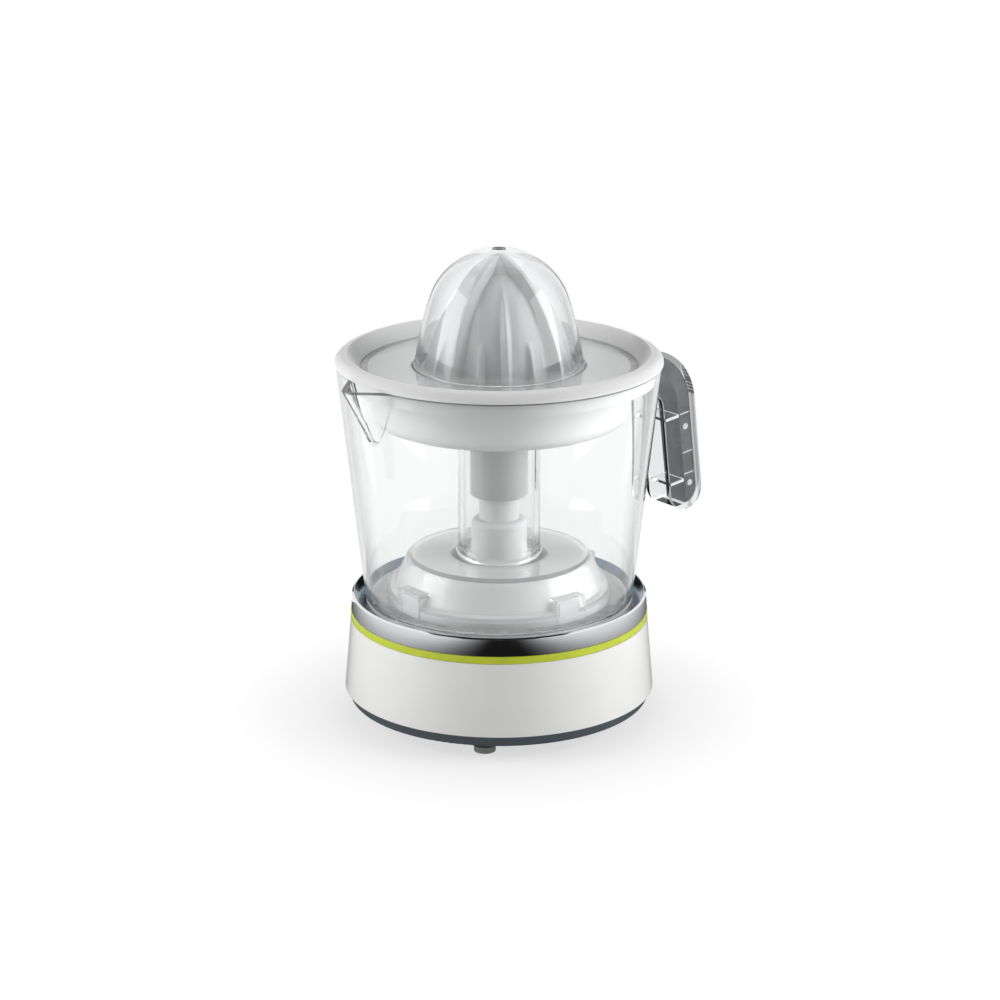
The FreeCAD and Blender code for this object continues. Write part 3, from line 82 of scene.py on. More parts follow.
class Graph:
    """A node tree with short ways to add and join its nodes."""

    def __init__(self, tree: bpy.types.NodeTree) -> None:
        """Empty the tree of a material, of the world or of a ring of copies, and keep it."""
        self.tree = tree
        tree.nodes.clear()

    def node(self, kind: str, inputs: Inputs | None = None, **settings: str) -> bpy.types.Node:
        """Add one node.

        Args:
            kind: Blender's name for the node.
            inputs: What each input reads: a plain value, or the socket that is linked to it.
            settings: Properties to set on it first.

        Returns:
            The new node.
        """
        made = self.tree.nodes.new(kind)
        for name, setting in settings.items():
            setattr(made, name, setting)
        for name, source in (inputs or {}).items():
            if isinstance(source, Socket):
                self.tree.links.new(source, made.inputs[name])
            else:
                made.inputs[name].default_value = source
        return made

    def reckon(self, operation: str, *values: Source) -> Socket:
        """Work a value out from numbers and sockets by one of Blender's operations."""
        return self.node("ShaderNodeMath", dict(enumerate(values)), operation=operation).outputs["Value"]

    def ramp(self, value: Socket, start: float, end: float, low: float, high: float,
             soft: bool = False) -> Socket:
        """Value that changes while another one goes from start to end, and is level outside that.

        Args:
            value: Socket to read.
            start: Where the change starts.
            end: Where it ends.
            low: Result up to the start.
            high: Result from the end on.
            soft: Whether the change starts and ends gently.

        Returns:
            The result's socket.
        """
        inputs = {"Value": value, "From Min": start, "From Max": end, "To Min": low, "To Max": high}
        shape = "SMOOTHSTEP" if soft else "LINEAR"
        return self.node("ShaderNodeMapRange", inputs, interpolation_type=shape).outputs["Result"]

    def axis(self, vector: Socket, name: str) -> Socket:
        """One coordinate of a vector: X, Y or Z."""
        return self.node("ShaderNodeSeparateXYZ", {"Vector": vector}).outputs[name]

    def span(self, first: Socket, second: Socket) -> Socket:
        """Length of the diagonal of two coordinates."""
        flat = self.node("ShaderNodeCombineXYZ", {"X": first, "Y": second}).outputs["Vector"]
        return self.node("ShaderNodeVectorMath", {0: flat}, operation="LENGTH").outputs["Value"]

    def place(self, stretch: Sequence[float] = (1.0, 1.0, 1.0)) -> Socket:
        """Object coordinates in metres, scaled along each axis."""
        place = self.node("ShaderNodeTexCoord").outputs["Object"]
        return self.node("ShaderNodeMapping", {"Vector": place, "Scale": stretch}).outputs["Vector"]

    def noise(self, vector: Socket, grain: float, layers: float) -> Socket:
        """Cloudy pattern around 0.5, with patches of a grain in millimetres and some finer layers."""
        inputs = {"Vector": vector, "Scale": 1.0 / (grain * MM), "Detail": layers}
        return self.node("ShaderNodeTexNoise", inputs).outputs["Fac"]

    def bands(self, vector: Socket, pitch: float, waver: float) -> Socket:
        """Level bands from 0 to 1, a pitch in millimetres apart, that waver."""
        inputs = {"Vector": vector, "Scale": math.tau / (WAVE_RATE * pitch * MM), "Distortion": waver}
        return self.node("ShaderNodeTexWave", inputs, bands_direction="Z").outputs["Fac"]

    def spread(self, noise: Socket, low: float, high: float) -> Socket:
        """Stretch the range that noise has to the range from low to high."""
        return self.ramp(noise, NOISE_LOW, NOISE_HIGH, low, high)

    def tint(self, share: Socket, first: Colour, second: Colour) -> Socket:
        """Colour between two tones.

        Args:
            share: 0 for the first tone, 1 for the second.
            first: Linear colour.
            second: Linear colour.

        Returns:
            The colour socket.
        """
        mix = self.node("ShaderNodeMix", {"Factor": share}, data_type="RGBA")
        tones = [socket for socket in mix.inputs if socket.type == "RGBA"]
        for socket, tone in zip(tones, (first, second)):
            socket.default_value = (*tone, 1.0)
        return next(socket for socket in mix.outputs if socket.type == "RGBA")

    def relief(self, height: Socket, depth: float) -> Socket:
        """Normals of a relief that follows a pattern from 0 to 1, with a depth in millimetres."""
        inputs = {"Height": height, "Strength": 1.0, "Distance": depth * MM}
        return self.node("ShaderNodeBump", inputs).outputs["Normal"]

    def blend(self, share: Socket, first: Socket, second: Socket) -> Socket:
        """Mix two shaders."""
        return self.node("ShaderNodeMixShader", {0: share, 1: first, 2: second}).outputs["Shader"]

    def sight(self) -> Socket:
        """Tell rays of sight, also by gloss and through clear pieces, from rays of light.

        Returns:
            A socket that is 1 for rays of sight and 0 for the others.
        """
        path = self.node("ShaderNodeLightPath").outputs
        bent = self.reckon("MAXIMUM", path["Is Glossy Ray"], path["Is Transmission Ray"])
        shown = self.reckon("MAXIMUM", path["Is Camera Ray"], bent)
        unscattered = self.reckon("LESS_THAN", path["Diffuse Depth"], 0.5)
        return self.reckon("MULTIPLY", shown, unscattered)


def make_material(name: str, shade: Callable[[Graph], Socket]) -> bpy.types.Material:
    """Make a material.

    Args:
        name: Its name.
        shade: Function that builds its shader.

    Returns:
        The material.
    """
    made = bpy.data.materials.new(name)
    made.use_nodes = True
    graph = Graph(made.node_tree)
    graph.node("ShaderNodeOutputMaterial", {"Surface": shade(graph)})
    return made


@dataclass(frozen=True)
class Finish:
    """A surface finish, made into a material on first use."""

    name: str
    slot: str

    def material(self) -> bpy.types.Material:
        """The finish's material, made when it is first asked for."""
        return bpy.data.materials.get(self.name) or make_material(self.name, self.shade)

    def shade(self, graph: Graph) -> Socket:
        """Build the shader; each kind of finish has its own."""
        raise NotImplementedError


@dataclass(frozen=True)
class Moulded(Finish):
    """Opaque moulded plastic or rubber: faint flow clouds, fine spark texture and slightly uneven gloss."""

    colour: Colour
    deep: Colour
    smooth: float
    rough: float
    grain: float = 0.6
    depth: float = 0.004
    cloud: float = 28.0
    layers: float = 2.0
    coat: float = 0.0
    coat_rough: float = 0.06

    def shade(self, graph: Graph) -> Socket:
        """Plastic with patterned colour, roughness and relief.

        Args:
            graph: Tree to add to.

        Returns:
            The shader's socket.
        """
        place = graph.place()
        clouds = graph.noise(place, self.cloud, self.layers)
        spark = graph.noise(place, self.grain, self.layers)
        return graph.node("ShaderNodeBsdfPrincipled", {
            "Base Color": graph.tint(graph.spread(clouds, 0.0, 1.0), self.deep, self.colour),
            "Roughness": graph.spread(clouds, self.rough, self.smooth),
            "Normal": graph.relief(spark, self.depth),
            "Coat Weight": self.coat,
            "Coat Roughness": self.coat_rough,
        }).outputs["BSDF"]


@dataclass(frozen=True)
class Bow:
    """Side view of the handle: a round shoulder that runs into a straight, leaning grip."""

    shoulder_x: float = 91.7
    shoulder_z: float = 145.0
    radius: float = 34.8
    lean: float = 7.0
    wall: float = 2.8
    # Painted shade: the clear handle's colour darkens over its outer wall, fading in at the wall's inner
    # face.
    wall_shade_fade: float = 0.28
    wall_shade_tone: float = 0.68
    bend_steps: int = 24

    def outer(self, graph: Graph) -> Socket:
        """Share of the painted edge shade in the handle's outer wall.

        Args:
            graph: Tree to add to.

        Returns:
            The share's socket.
        """
        turned = graph.node("ShaderNodeMapping", {
            "Vector": graph.place(),
            "Location": (self.shoulder_x * MM, 0.0, self.shoulder_z * MM),
            "Rotation": (0.0, -math.radians(self.lean), 0.0),
        }, vector_type="TEXTURE").outputs["Vector"]
        above = graph.reckon("MAXIMUM", graph.axis(turned, "Z"), 0.0)
        reach = graph.span(graph.axis(turned, "X"), above)
        inside = self.radius - self.wall
        return graph.ramp(reach, (inside - self.wall_shade_fade) * MM, inside * MM, 0.0, self.wall_shade_tone)

    def spot(self, run: float, depth: float) -> Point:
        """Place on the grip.

        Args:
            run: Distance down the grip from the shoulder.
            depth: Distance in from the handle's outer face.

        Returns:
            Its place along X and its height.
        """
        lean = math.radians(self.lean)
        out = self.radius - depth
        x = self.shoulder_x + out * math.cos(lean) + run * math.sin(lean)
        z = self.shoulder_z + out * math.sin(lean) - run * math.cos(lean)
        return x, z

    def bend(self, radius: float, start: float) -> list[Point]:
        """Points round the shoulder, down to the straight grip.

        Args:
            radius: Distance from the shoulder's middle.
            start: Angle of the first point above the level.

        Returns:
            Place along X and height of each point.
        """
        found = []
        for step in range(self.bend_steps + 1):
            turn = math.radians(start + (self.lean - start) * step / self.bend_steps)
            x = self.shoulder_x + radius * math.cos(turn)
            found.append((x, self.shoulder_z + radius * math.sin(turn)))
        return found


@dataclass(frozen=True)
class Clear(Finish):
    """Clear moulded plastic with faint flow waves and painted shade on its edges; lamps reach what is behind
    it.
    """

    colour: Colour
    haze: float
    # Painted shade: the edge tone darkens the colour where a wall is seen edge on, along a cut rim and in a
    # bow's wall.
    edge: Colour = (0.3, 0.31, 0.32)
    edge_shade_start: float = 0.55
    rim: float = 0.0
    rim_shade_depth: float = 1.1
    rim_shade_fade: float = 0.33
    bow: Bow | None = None
    mist: float = 0.0
    mist_top: float = 89.0
    mist_fade: float = 8.0
    mist_radius: float = 66.0
    mist_edge: float = 3.0
    flow: float = 34.0
    flow_layers: float = 1.0
    flow_stretch: Sequence[float] = (1.0, 1.0, 0.35)
    depth: float = 0.02
    bend: float = 1.46

    def edges(self, graph: Graph) -> Socket:
        """Share of the painted edge shade, a dark tone that stands in for the dark reflections on edges of
        clear plastic.

        Args:
            graph: Tree to add to.

        Returns:
            A socket that is high where an upright wall is seen edge on, along a cut rim and in a bow's wall.
        """
        facing = graph.node("ShaderNodeLayerWeight", {"Blend": 0.5}).outputs["Facing"]
        grazing_shade = graph.ramp(facing, self.edge_shade_start, 1.0, 0.0, 1.0)
        normal = graph.node("ShaderNodeTexCoord").outputs["Normal"]
        level = graph.reckon("ABSOLUTE", graph.axis(normal, "Z"))
        share = graph.reckon("MULTIPLY", grazing_shade, graph.reckon("SUBTRACT", 1.0, level))
        if self.rim > 0.0:
            foot = (self.rim - self.rim_shade_depth) * MM
            height = graph.axis(graph.place(), "Z")
            band = graph.ramp(height, foot, foot + self.rim_shade_fade * MM, 0.0, 1.0)
            share = graph.reckon("MAXIMUM", share, band)
        if self.bow:
            share = graph.reckon("MAXIMUM", share, self.bow.outer(graph))
        return share

    def misty(self, graph: Graph) -> Socket:
        """Share of mist.

        Args:
            graph: Tree to add to.

        Returns:
            A socket that is high low down inside the mist's radius, and 0 above it and outside.
        """
        place = graph.place()
        radius = graph.span(graph.axis(place, "X"), graph.axis(place, "Y"))
        outside = self.mist_radius * MM
        inside = graph.ramp(radius, outside - self.mist_edge * MM, outside, 1.0, 0.0)
        top = self.mist_top * MM
        low = graph.ramp(graph.axis(place, "Z"), top - self.mist_fade * MM, top, self.mist, 0.0)
        return graph.reckon("MULTIPLY", inside, low)

    def shade(self, graph: Graph) -> Socket:
        """Plastic that lets light through, and plain passage for rays towards lamps.

        Args:
            graph: Tree to add to.

        Returns:
            The shader's socket.
        """
        flow = graph.noise(graph.place(self.flow_stretch), self.flow, self.flow_layers)
        rough = graph.spread(flow, 0.0, self.haze)
        through: Source = 1.0
        if self.mist > 0.0:
            misty = self.misty(graph)
            rough = graph.reckon("MAXIMUM", rough, misty)
            through = graph.reckon("SUBTRACT", 1.0, misty)
        # The base colour carries the painted edge shade.
        plastic = graph.node("ShaderNodeBsdfPrincipled", {
            "Base Color": graph.tint(self.edges(graph), self.colour, self.edge),
            "Roughness": rough,
            "Normal": graph.relief(flow, self.depth),
            "Transmission Weight": through,
            "IOR": self.bend,
        }).outputs["BSDF"]
        passage = graph.node("ShaderNodeBsdfTransparent", {"Color": (*self.colour, 1.0)}).outputs["BSDF"]
        return graph.blend(graph.node("ShaderNodeLightPath").outputs["Is Shadow Ray"], plastic, passage)


@dataclass(frozen=True)
class Metal(Finish):
    """Metal with bands left by turning, stacking, winding or polishing."""

    colour: Colour
    deep: Colour
    smooth: float
    rough: float
    pitch: float
    depth: float
    waver: float = 0.4
    smear: float = 9.0
    smear_layers: float = 4.0

    def shade(self, graph: Graph) -> Socket:
        """Metal with banded colour and relief and smeared roughness.

        Args:
            graph: Tree to add to.

        Returns:
            The shader's socket.
        """
        place = graph.place()
        bands = graph.bands(place, self.pitch, self.waver)
        smear = graph.noise(place, self.smear, self.smear_layers)
        return graph.node("ShaderNodeBsdfPrincipled", {
            "Metallic": 1.0,
            "Base Color": graph.tint(bands, self.deep, self.colour),
            "Roughness": graph.spread(smear, self.smooth, self.rough),
            "Normal": graph.relief(bands, self.depth),
        }).outputs["BSDF"]


HANDLE = Bow()
WHITE_GLOSS = Moulded("white_gloss_plastic", "white_plastic", (0.88, 0.88, 0.87), (0.85, 0.85, 0.84),
                      smooth=0.16, rough=0.24, depth=0.0015, coat=0.25)
WHITE_SATIN = Moulded("white_satin_plastic", "white_plastic", (0.83, 0.83, 0.83), (0.8, 0.8, 0.8),
                      smooth=0.3, rough=0.4, depth=0.003)
# Painted shade: the next two are the same white plastic, darkened for the hub, spindle and reamer seen inside
# the clear jug and cover.
WHITE_MATT_PAINTED_SHADE = Moulded("white_matt_plastic_painted_shade", "white_plastic", (0.66, 0.66, 0.66), (0.62, 0.62, 0.62),
                     smooth=0.35, rough=0.45, depth=0.003)
CONE_PAINTED_SHADE = Moulded("white_cone_plastic_painted_shade", "white_plastic", (0.55, 0.55, 0.55), (0.51, 0.51, 0.51),
                    smooth=0.35, rough=0.45, depth=0.003)
LIME = Moulded("lime_gloss_plastic", "lime_plastic", (0.6, 0.69, 0.05), (0.54, 0.64, 0.04),
               smooth=0.2, rough=0.3, cloud=12.0)
SLATE = Moulded("slate_matt_plastic", "slate_plastic", (0.105, 0.125, 0.14), (0.085, 0.105, 0.12),
                smooth=0.42, rough=0.55, depth=0.012)
PAD_RUBBER = Moulded("grey_pad_rubber", "pad_rubber", (0.4, 0.4, 0.39), (0.34, 0.34, 0.33),
                     smooth=0.6, rough=0.75, depth=0.02)
GRIP = Moulded("dark_grip_rubber", "grip_rubber", (0.1, 0.1, 0.105), (0.05, 0.05, 0.054),
               smooth=0.25, rough=0.4, depth=0.012, cloud=14.0)
DARK = Moulded("dark_matt_plastic", "dark_plastic", (0.022, 0.022, 0.024), (0.015, 0.015, 0.016),
               smooth=0.4, rough=0.55, depth=0.012)
GEAR = Moulded("ivory_gear_plastic", "gear_plastic", (0.72, 0.69, 0.58), (0.66, 0.62, 0.5),
               smooth=0.35, rough=0.48)
MAGNET = Moulded("dark_ferrite", "magnet", (0.035, 0.035, 0.037), (0.025, 0.025, 0.026),
                 smooth=0.5, rough=0.7, depth=0.02)
# Partly painted highlight: clear bosses and ridges are given a pale opaque colour that stands in for the
# glints on them.
PALE_PAINTED_HIGHLIGHT = Moulded("pale_boss_plastic_painted_highlight", "clear_plastic", (0.72, 0.73, 0.74), (0.66, 0.67, 0.68),
               smooth=0.15, rough=0.22)
# Painted shade: the edge tones of these clear finishes darken walls seen edge on, the jug's cut rim and the
# handle's outer wall.
CLEAR_JUG = Clear("clear_jug_wall", "clear_plastic", (0.975, 0.98, 0.98), haze=0.03, rim=188.0, mist=0.2)
CLEAR_HANDLE = Clear("clear_handle", "clear_plastic", (0.88, 0.89, 0.9), haze=0.03,
                     edge=(0.1, 0.105, 0.11), edge_shade_start=0.25, bow=HANDLE)
CLEAR_COVER = Clear("clear_cover", "clear_plastic", (0.97, 0.975, 0.98), haze=0.03,
                    edge=(0.14, 0.145, 0.15), edge_shade_start=0.36,
                    mist=0.14, mist_top=191.0, mist_fade=4.0, mist_radius=90.0)
TRIM = Metal("bright_plated_trim", "bright_trim", (0.8, 0.81, 0.83), (0.78, 0.79, 0.81),
             smooth=0.05, rough=0.1, pitch=1.6, depth=0.0004)
# Painted reflection: the trim's own chrome, darkened and tinted blue for its upward land.
LAND_PAINTED_REFLECTION = Metal("trim_land_painted_reflection", "bright_trim", (0.2, 0.27, 0.32), (0.15, 0.2, 0.25),
             smooth=0.1, rough=0.18, pitch=0.9, depth=0.0008)
STEEL = Metal("turned_steel", "steel", (0.6, 0.61, 0.63), (0.5, 0.51, 0.53),
              smooth=0.22, rough=0.36, pitch=0.4, depth=0.003)
CORE = Metal("stacked_core_steel", "core_steel", (0.3, 0.31, 0.33), (0.12, 0.12, 0.13),
             smooth=0.4, rough=0.55, pitch=0.5, depth=0.03)
BRONZE = Metal("sintered_bronze", "bronze", (0.5, 0.33, 0.13), (0.42, 0.26, 0.1),
               smooth=0.35, rough=0.5, pitch=0.6, depth=0.004)
COPPER = Metal("enamelled_copper", "copper", (0.6, 0.25, 0.09), (0.3, 0.1, 0.03),
               smooth=0.22, rough=0.35, pitch=0.35, depth=0.05)


def dress(finish: Finish, *nodes: str) -> None:
    """Give CAD nodes a finish in place of their plain materials.

    Args:
        finish: The finish.
        nodes: Names of the CAD nodes.
    """
    for node in nodes:
        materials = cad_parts[node].data.materials
        materials.clear()
        materials.append(finish.material())
        LOG.info("dressed %s in %s", node, finish.name)


def put(name: str, data: bpy.types.ID) -> bpy.types.Object:
    """Put a mesh, lamp or camera into the scene.

    Args:
        name: Name of its object.
        data: The mesh, lamp or camera.

    Returns:
        The new object.
    """
    thing = bpy.data.objects.new(name, data)
    bpy.context.scene.collection.objects.link(thing)
    return thing


def put_mesh(name: str, mesh: Mesh, material: bpy.types.Material) -> bpy.types.Object:
    """Finish a mesh and put it into the scene.

    Args:
        name: Name of its object.
        mesh: Mesh in metres; it is freed.
        material: Its material.

    Returns:
        The new object.
    """
    bmesh.ops.recalc_face_normals(mesh, faces=mesh.faces)
    data = bpy.data.meshes.new(name)
    mesh.to_mesh(data)
    mesh.free()
    data.materials.append(material)
    return put(name, data)


def add_piece(name: str, mesh: Mesh, body: Body, finish: Finish, stands_for: Iterable[str] = (),
              crease: float = 40.0) -> bpy.types.Object:
    """Turn a finished mesh into a piece that rides on a body.

    Args:
        name: Piece name.
        mesh: Mesh in metres; it is freed.
        body: Body that carries the piece.
        finish: Its finish.
        stands_for: CAD nodes that it stands for.
        crease: Angle past which an edge stays sharp.

    Returns:
        The new object.
    """
    piece = put_mesh(name, mesh, finish.material())
    piece.data.shade_smooth()
    piece.data.set_sharp_from_angle(angle=math.radians(crease))
    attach(piece, body.value)
    if stands_for:
        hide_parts(*stands_for)
    LOG.info("built %s: %d faces", name, len(piece.data.polygons))
    return piece


def rounded(corners: Sequence[Corner], steps: int = 5) -> list[Point]:
    """Round the corners of a closed outline.

    Args:
        corners: Radius, height and rounding of each corner, in millimetres.
        steps: Straight pieces in each rounding.

    Returns:
        Points of the rounded outline.
    """
    most = 0.49
    points = []
    for number, (x, z, size) in enumerate(corners):
        here = Vector((x, z))
        if size <= 0.0:
            points.append((x, z))
            continue
        before = Vector(corners[number - 1][:2]) - here
        after = Vector(corners[(number + 1) % len(corners)][:2]) - here
        half = before.angle(after) / 2
        reach = min(size / math.tan(half), most * before.length, most * after.length)
        start = here + before.normalized() * reach
        end = here + after.normalized() * reach
        for step in range(steps + 1):
            share = step / steps
            near = start.lerp(here, share)
            far = here.lerp(end, share)
            points.append(tuple(near.lerp(far, share)))
    return points


def even_turns(count: int) -> list[float]:
    """Angles evenly round a full turn, in radians."""
    return [math.tau * number / count for number in range(count)]


def polar(radius: float, turn: float, z: float) -> Vector:
    """Point at a radius, an angle in radians and a height."""
    return Vector((radius * math.cos(turn), radius * math.sin(turn), z))


def ring(radius: float, z: float, turns: Sequence[float]) -> list[Vector]:
    """Points round the axis at given angles in radians."""
    return [polar(radius, turn, z) for turn in turns]


def skin(mesh: Mesh, rows: Sequence[Sequence[Vector]], closed: bool = False) -> list[Row]:
    """Join rows of points, each a closed ring, into a tube of quads.

    Args:
        mesh: Mesh to add to.
        rows: Rings with the same count of points, in millimetres; a ring of one point is a pole.
        closed: Whether the last row joins the first.

    Returns:
        The vertices of each row.
    """
    made = [[mesh.verts.new(point * MM) for point in row] for row in rows]
    pairs = list(zip(made, made[1:]))
    if closed:
        pairs.append((made[-1], made[0]))
    for lower, upper in pairs:
        count = max(len(lower), len(upper))
        for step in range(count):
            after = (step + 1) % count
            corners = [lower[step % len(lower)], lower[after % len(lower)],
                       upper[after % len(upper)], upper[step % len(upper)]]
            mesh.faces.new(list(dict.fromkeys(corners)))
    return made


def lathe(mesh: Mesh, outline: Sequence[Point], columns: int = 192) -> None:
    """Turn a closed outline about the axis.

    Args:
        mesh: Mesh to add to.
        outline: Radius and height of each point, in millimetres, counter-clockwise; it starts and ends on
            the axis or stays clear of it.
        columns: Steps round the axis.
    """
    turns = even_turns(columns)
    rows = [ring(radius, z, turns if radius > 0.0 else turns[:1]) for radius, z in outline]
    skin(mesh, rows, closed=outline[0][0] > 0.0)
    bmesh.ops.recalc_face_normals(mesh, faces=mesh.faces)


def prism(mesh: Mesh, outline: Sequence[Point], near: float, far: float) -> list[bmesh.types.BMFace]:
    """Add a block with one outline in side view, between two places along Y, and give back its sides."""
    rows = skin(mesh, [[Vector((x, y, z)) for x, z in outline] for y in (near, far)])
    return [mesh.faces.new(row) for row in rows]


@dataclass
class Ring:
    """Copies of one part, set evenly round the axis by Geometry Nodes."""

    name: str
    count: int
    radius: float
    first: float

    def tree(self) -> bpy.types.NodeTree:
        """Build the node tree that sets the copies.

        Returns:
            A tree whose inputs are the part, count, radius, first angle and finish.
        """
        tree = bpy.data.node_groups.new(self.name, "GeometryNodeTree")
        kinds = {"Part": "Object", "Count": "Int", "Radius": "Float", "First Angle": "Float",
                 "Finish": "Material"}
        for label, kind in kinds.items():
            tree.interface.new_socket(label, in_out="INPUT", socket_type=f"NodeSocket{kind}")
        tree.interface.new_socket("Geometry", in_out="OUTPUT", socket_type="NodeSocketGeometry")
        graph = Graph(tree)
        given = graph.node("NodeGroupInput").outputs
        circle = graph.node("GeometryNodeMeshCircle", {"Vertices": given["Count"], "Radius": given["Radius"]})
        part = graph.node("GeometryNodeObjectInfo", {"Object": given["Part"]})
        index = graph.node("GeometryNodeInputIndex").outputs["Index"]
        turn = graph.reckon("MULTIPLY", index, graph.reckon("DIVIDE", math.tau, given["Count"]))
        copies = graph.node("GeometryNodeInstanceOnPoints", {
            "Points": circle.outputs["Mesh"],
            "Instance": part.outputs["Geometry"],
            "Rotation": graph.node("ShaderNodeCombineXYZ", {"Z": turn}).outputs["Vector"],
        })
        turned = graph.node("GeometryNodeTransform", {
            "Geometry": copies.outputs["Instances"],
            "Rotation": graph.node("ShaderNodeCombineXYZ", {"Z": given["First Angle"]}).outputs["Vector"],
        })
        solid = graph.node("GeometryNodeRealizeInstances", {"Geometry": turned.outputs["Geometry"]})
        painted = graph.node("GeometryNodeSetMaterial", {
            "Geometry": solid.outputs["Geometry"],
            "Material": given["Finish"],
        })
        graph.node("NodeGroupOutput", {"Geometry": painted.outputs["Geometry"]})
        return tree

    def mesh(self, part: Mesh, finish: Finish) -> Mesh:
        """Set copies of a part round the axis.

        Args:
            part: Mesh of one part standing on the axis; it is freed.
            finish: Finish of the copies.

        Returns:
            One plain mesh with every copy.
        """
        pattern = put_mesh(f"{self.name}_part", part, finish.material())
        holder = put(f"{self.name}_holder", bpy.data.meshes.new(f"{self.name}_holder"))
        tree = self.tree()
        chosen = {"Part": pattern, "Count": self.count, "Radius": self.radius * MM,
                  "First Angle": math.radians(self.first), "Finish": finish.material()}
        modifier = holder.modifiers.new(self.name, "NODES")
        modifier.node_group = tree
        for item in tree.interface.items_tree:
            if item.in_out == "INPUT":
                modifier[item.identifier] = chosen[item.name]
        evaluated = holder.evaluated_get(bpy.context.evaluated_depsgraph_get())
        plain = bpy.data.meshes.new_from_object(evaluated)
        holder.modifiers.remove(modifier)
        made = bmesh.new()
        made.from_mesh(plain)
        for thing in (holder, pattern):
            bpy.data.objects.remove(thing)
        return made


@dataclass
class BaseUnit:
    """Motor base: plate, feet, shell, rings and the deck with its hub."""

    trim_foot: float = 55.4
    trim_top: float = 65.1
    trim_radius: float = 77.3
    trim_draft: float = 0.5
    trim_edge_width: float = 1.0
    trim_edge_drop: float = 0.8
    trim_bore: float = 75.5
    trim_round: float = 0.35
    land_radius: float = 69.5
    land_lip: float = 0.5
    land_round: float = 0.2
    land_start: float = 1.2
    land_slope: float = 0.3
    deck: float = 61.0
    foot_count: int = 4
    foot_circle: float = 64.0
    foot_angle: float = 45.0
    pad_radius: float = 5.6
    pad_height: float = 3.5
    pad_foot_round: float = 0.4
    pad_top_round: float = 0.3
    tread_radii: tuple[float, ...] = (1.6, 3.4)
    tread_width: float = 1.0
    tread_depth: float = 0.5
    lip_width: float = 0.8
    lip_round: float = 0.15
    spigot_radius: float = 2.6
    spigot_height: float = 2.0
    spigot_round: float = 0.2
    screw_count: int = 4
    screw_circle: float = 70.5
    screw_angle: float = 22.5
    screw_foot: float = 7.5
    head_radius: float = 2.8
    head_height: float = 1.6
    head_bevel: float = 0.3
    shank_radius: float = 1.5
    shank_length: float = 14.0
    recess_arms: int = 4
    recess_reach: float = 1.7
    recess_half: float = 0.35
    recess_depth: float = 1.0
    recess_taper: float = 0.6
    small_columns: int = 40

    def pad(self) -> Mesh:
        """Make one foot pad with ring treads under it and a spigot on top.

        Returns:
            Its mesh, standing on the axis.
        """
        groove = self.tread_depth
        lip = self.pad_radius - self.lip_width
        top = self.pad_height + self.spigot_height
        outline = [(0.0, groove)]
        for inner in self.tread_radii:
            outer = inner + self.tread_width
            outline += [(inner, groove), (inner, 0.0), (outer, 0.0), (outer, groove)]
        outline += rounded([
            (lip, groove, 0.0),
            (lip, 0.0, self.lip_round),
            (self.pad_radius, 0.0, self.pad_foot_round),
            (self.pad_radius, self.pad_height, self.pad_top_round),
            (self.spigot_radius, self.pad_height, 0.0),
            (self.spigot_radius, top, self.spigot_round),
            (0.0, top, 0.0),
        ])
        mesh = bmesh.new()
        lathe(mesh, outline, self.small_columns)
        return mesh

    def cross(self, share: float, z: float) -> list[Vector]:
        """Corners of the cross recess at one height.

        Args:
            share: Its size there as a share of its size at the mouth.
            z: Height.

        Returns:
            Its corners in order.
        """
        far, near = self.recess_reach * share, self.recess_half * share
        corners = []
        for turn in range(self.recess_arms):
            for x, y in ((far, near), (near, near), (near, far)):
                for _ in range(turn):
                    x, y = -y, x
                corners.append(Vector((x, y, z)))
        return corners

    def screw(self) -> Mesh:
        """Make one screw with a cross recess in the underside of its head.

        Returns:
            Its mesh, standing on the axis.
        """
        foot = self.screw_foot
        neck = foot + self.head_height
        tip = neck + self.shank_length
        outline = [
            (self.head_radius - self.head_bevel, foot),
            (self.head_radius, foot + self.head_bevel),
            (self.head_radius, neck),
            (self.shank_radius, neck),
            (self.shank_radius, tip),
        ]
        turns = even_turns(self.small_columns)
        mesh = bmesh.new()
        skin(mesh, [*(ring(radius, z, turns) for radius, z in outline), [Vector((0.0, 0.0, tip))]])
        outer = [edge for edge in mesh.edges if edge.is_boundary]
        recess = [self.cross(1.0, foot), self.cross(self.recess_taper, foot + self.recess_depth)]
        mouth, floor = skin(mesh, recess)
        mesh.faces.new(floor)
        rim = [mesh.edges.get(pair) for pair in zip(mouth, [*mouth[1:], mouth[0]])]
        bmesh.ops.triangle_fill(mesh, use_beauty=True, edges=outer + rim)
        return mesh

    def trim(self) -> None:
        """Make the trim ring: bright plating outside, darkened on the inner land as a painted reflection."""
        top_radius = self.trim_radius - self.trim_draft
        outline = rounded([
            (self.trim_bore, self.trim_foot, 0.0),
            (self.trim_radius, self.trim_foot, self.trim_round),
            (top_radius, self.trim_top - self.trim_edge_drop, self.trim_round),
            (top_radius - self.trim_edge_width, self.trim_top, self.trim_round),
            (self.land_radius, self.deck + self.land_lip, self.land_round),
            (self.land_radius, self.deck, 0.0),
            (self.trim_bore, self.deck, 0.0),
        ])
        mesh = bmesh.new()
        lathe(mesh, outline)
        land = (top_radius - self.land_start) * MM
        # Upward faces of the land get the painted dark reflection.
        for face in mesh.faces:
            middle = face.calc_center_median()
            if middle.xy.length < land and face.normal.z > self.land_slope:
                face.material_index = 1
        band = add_piece("trim_band", mesh, Body.BASE, TRIM, ["trim_ring"])
        band.data.materials.append(LAND_PAINTED_REFLECTION.material())

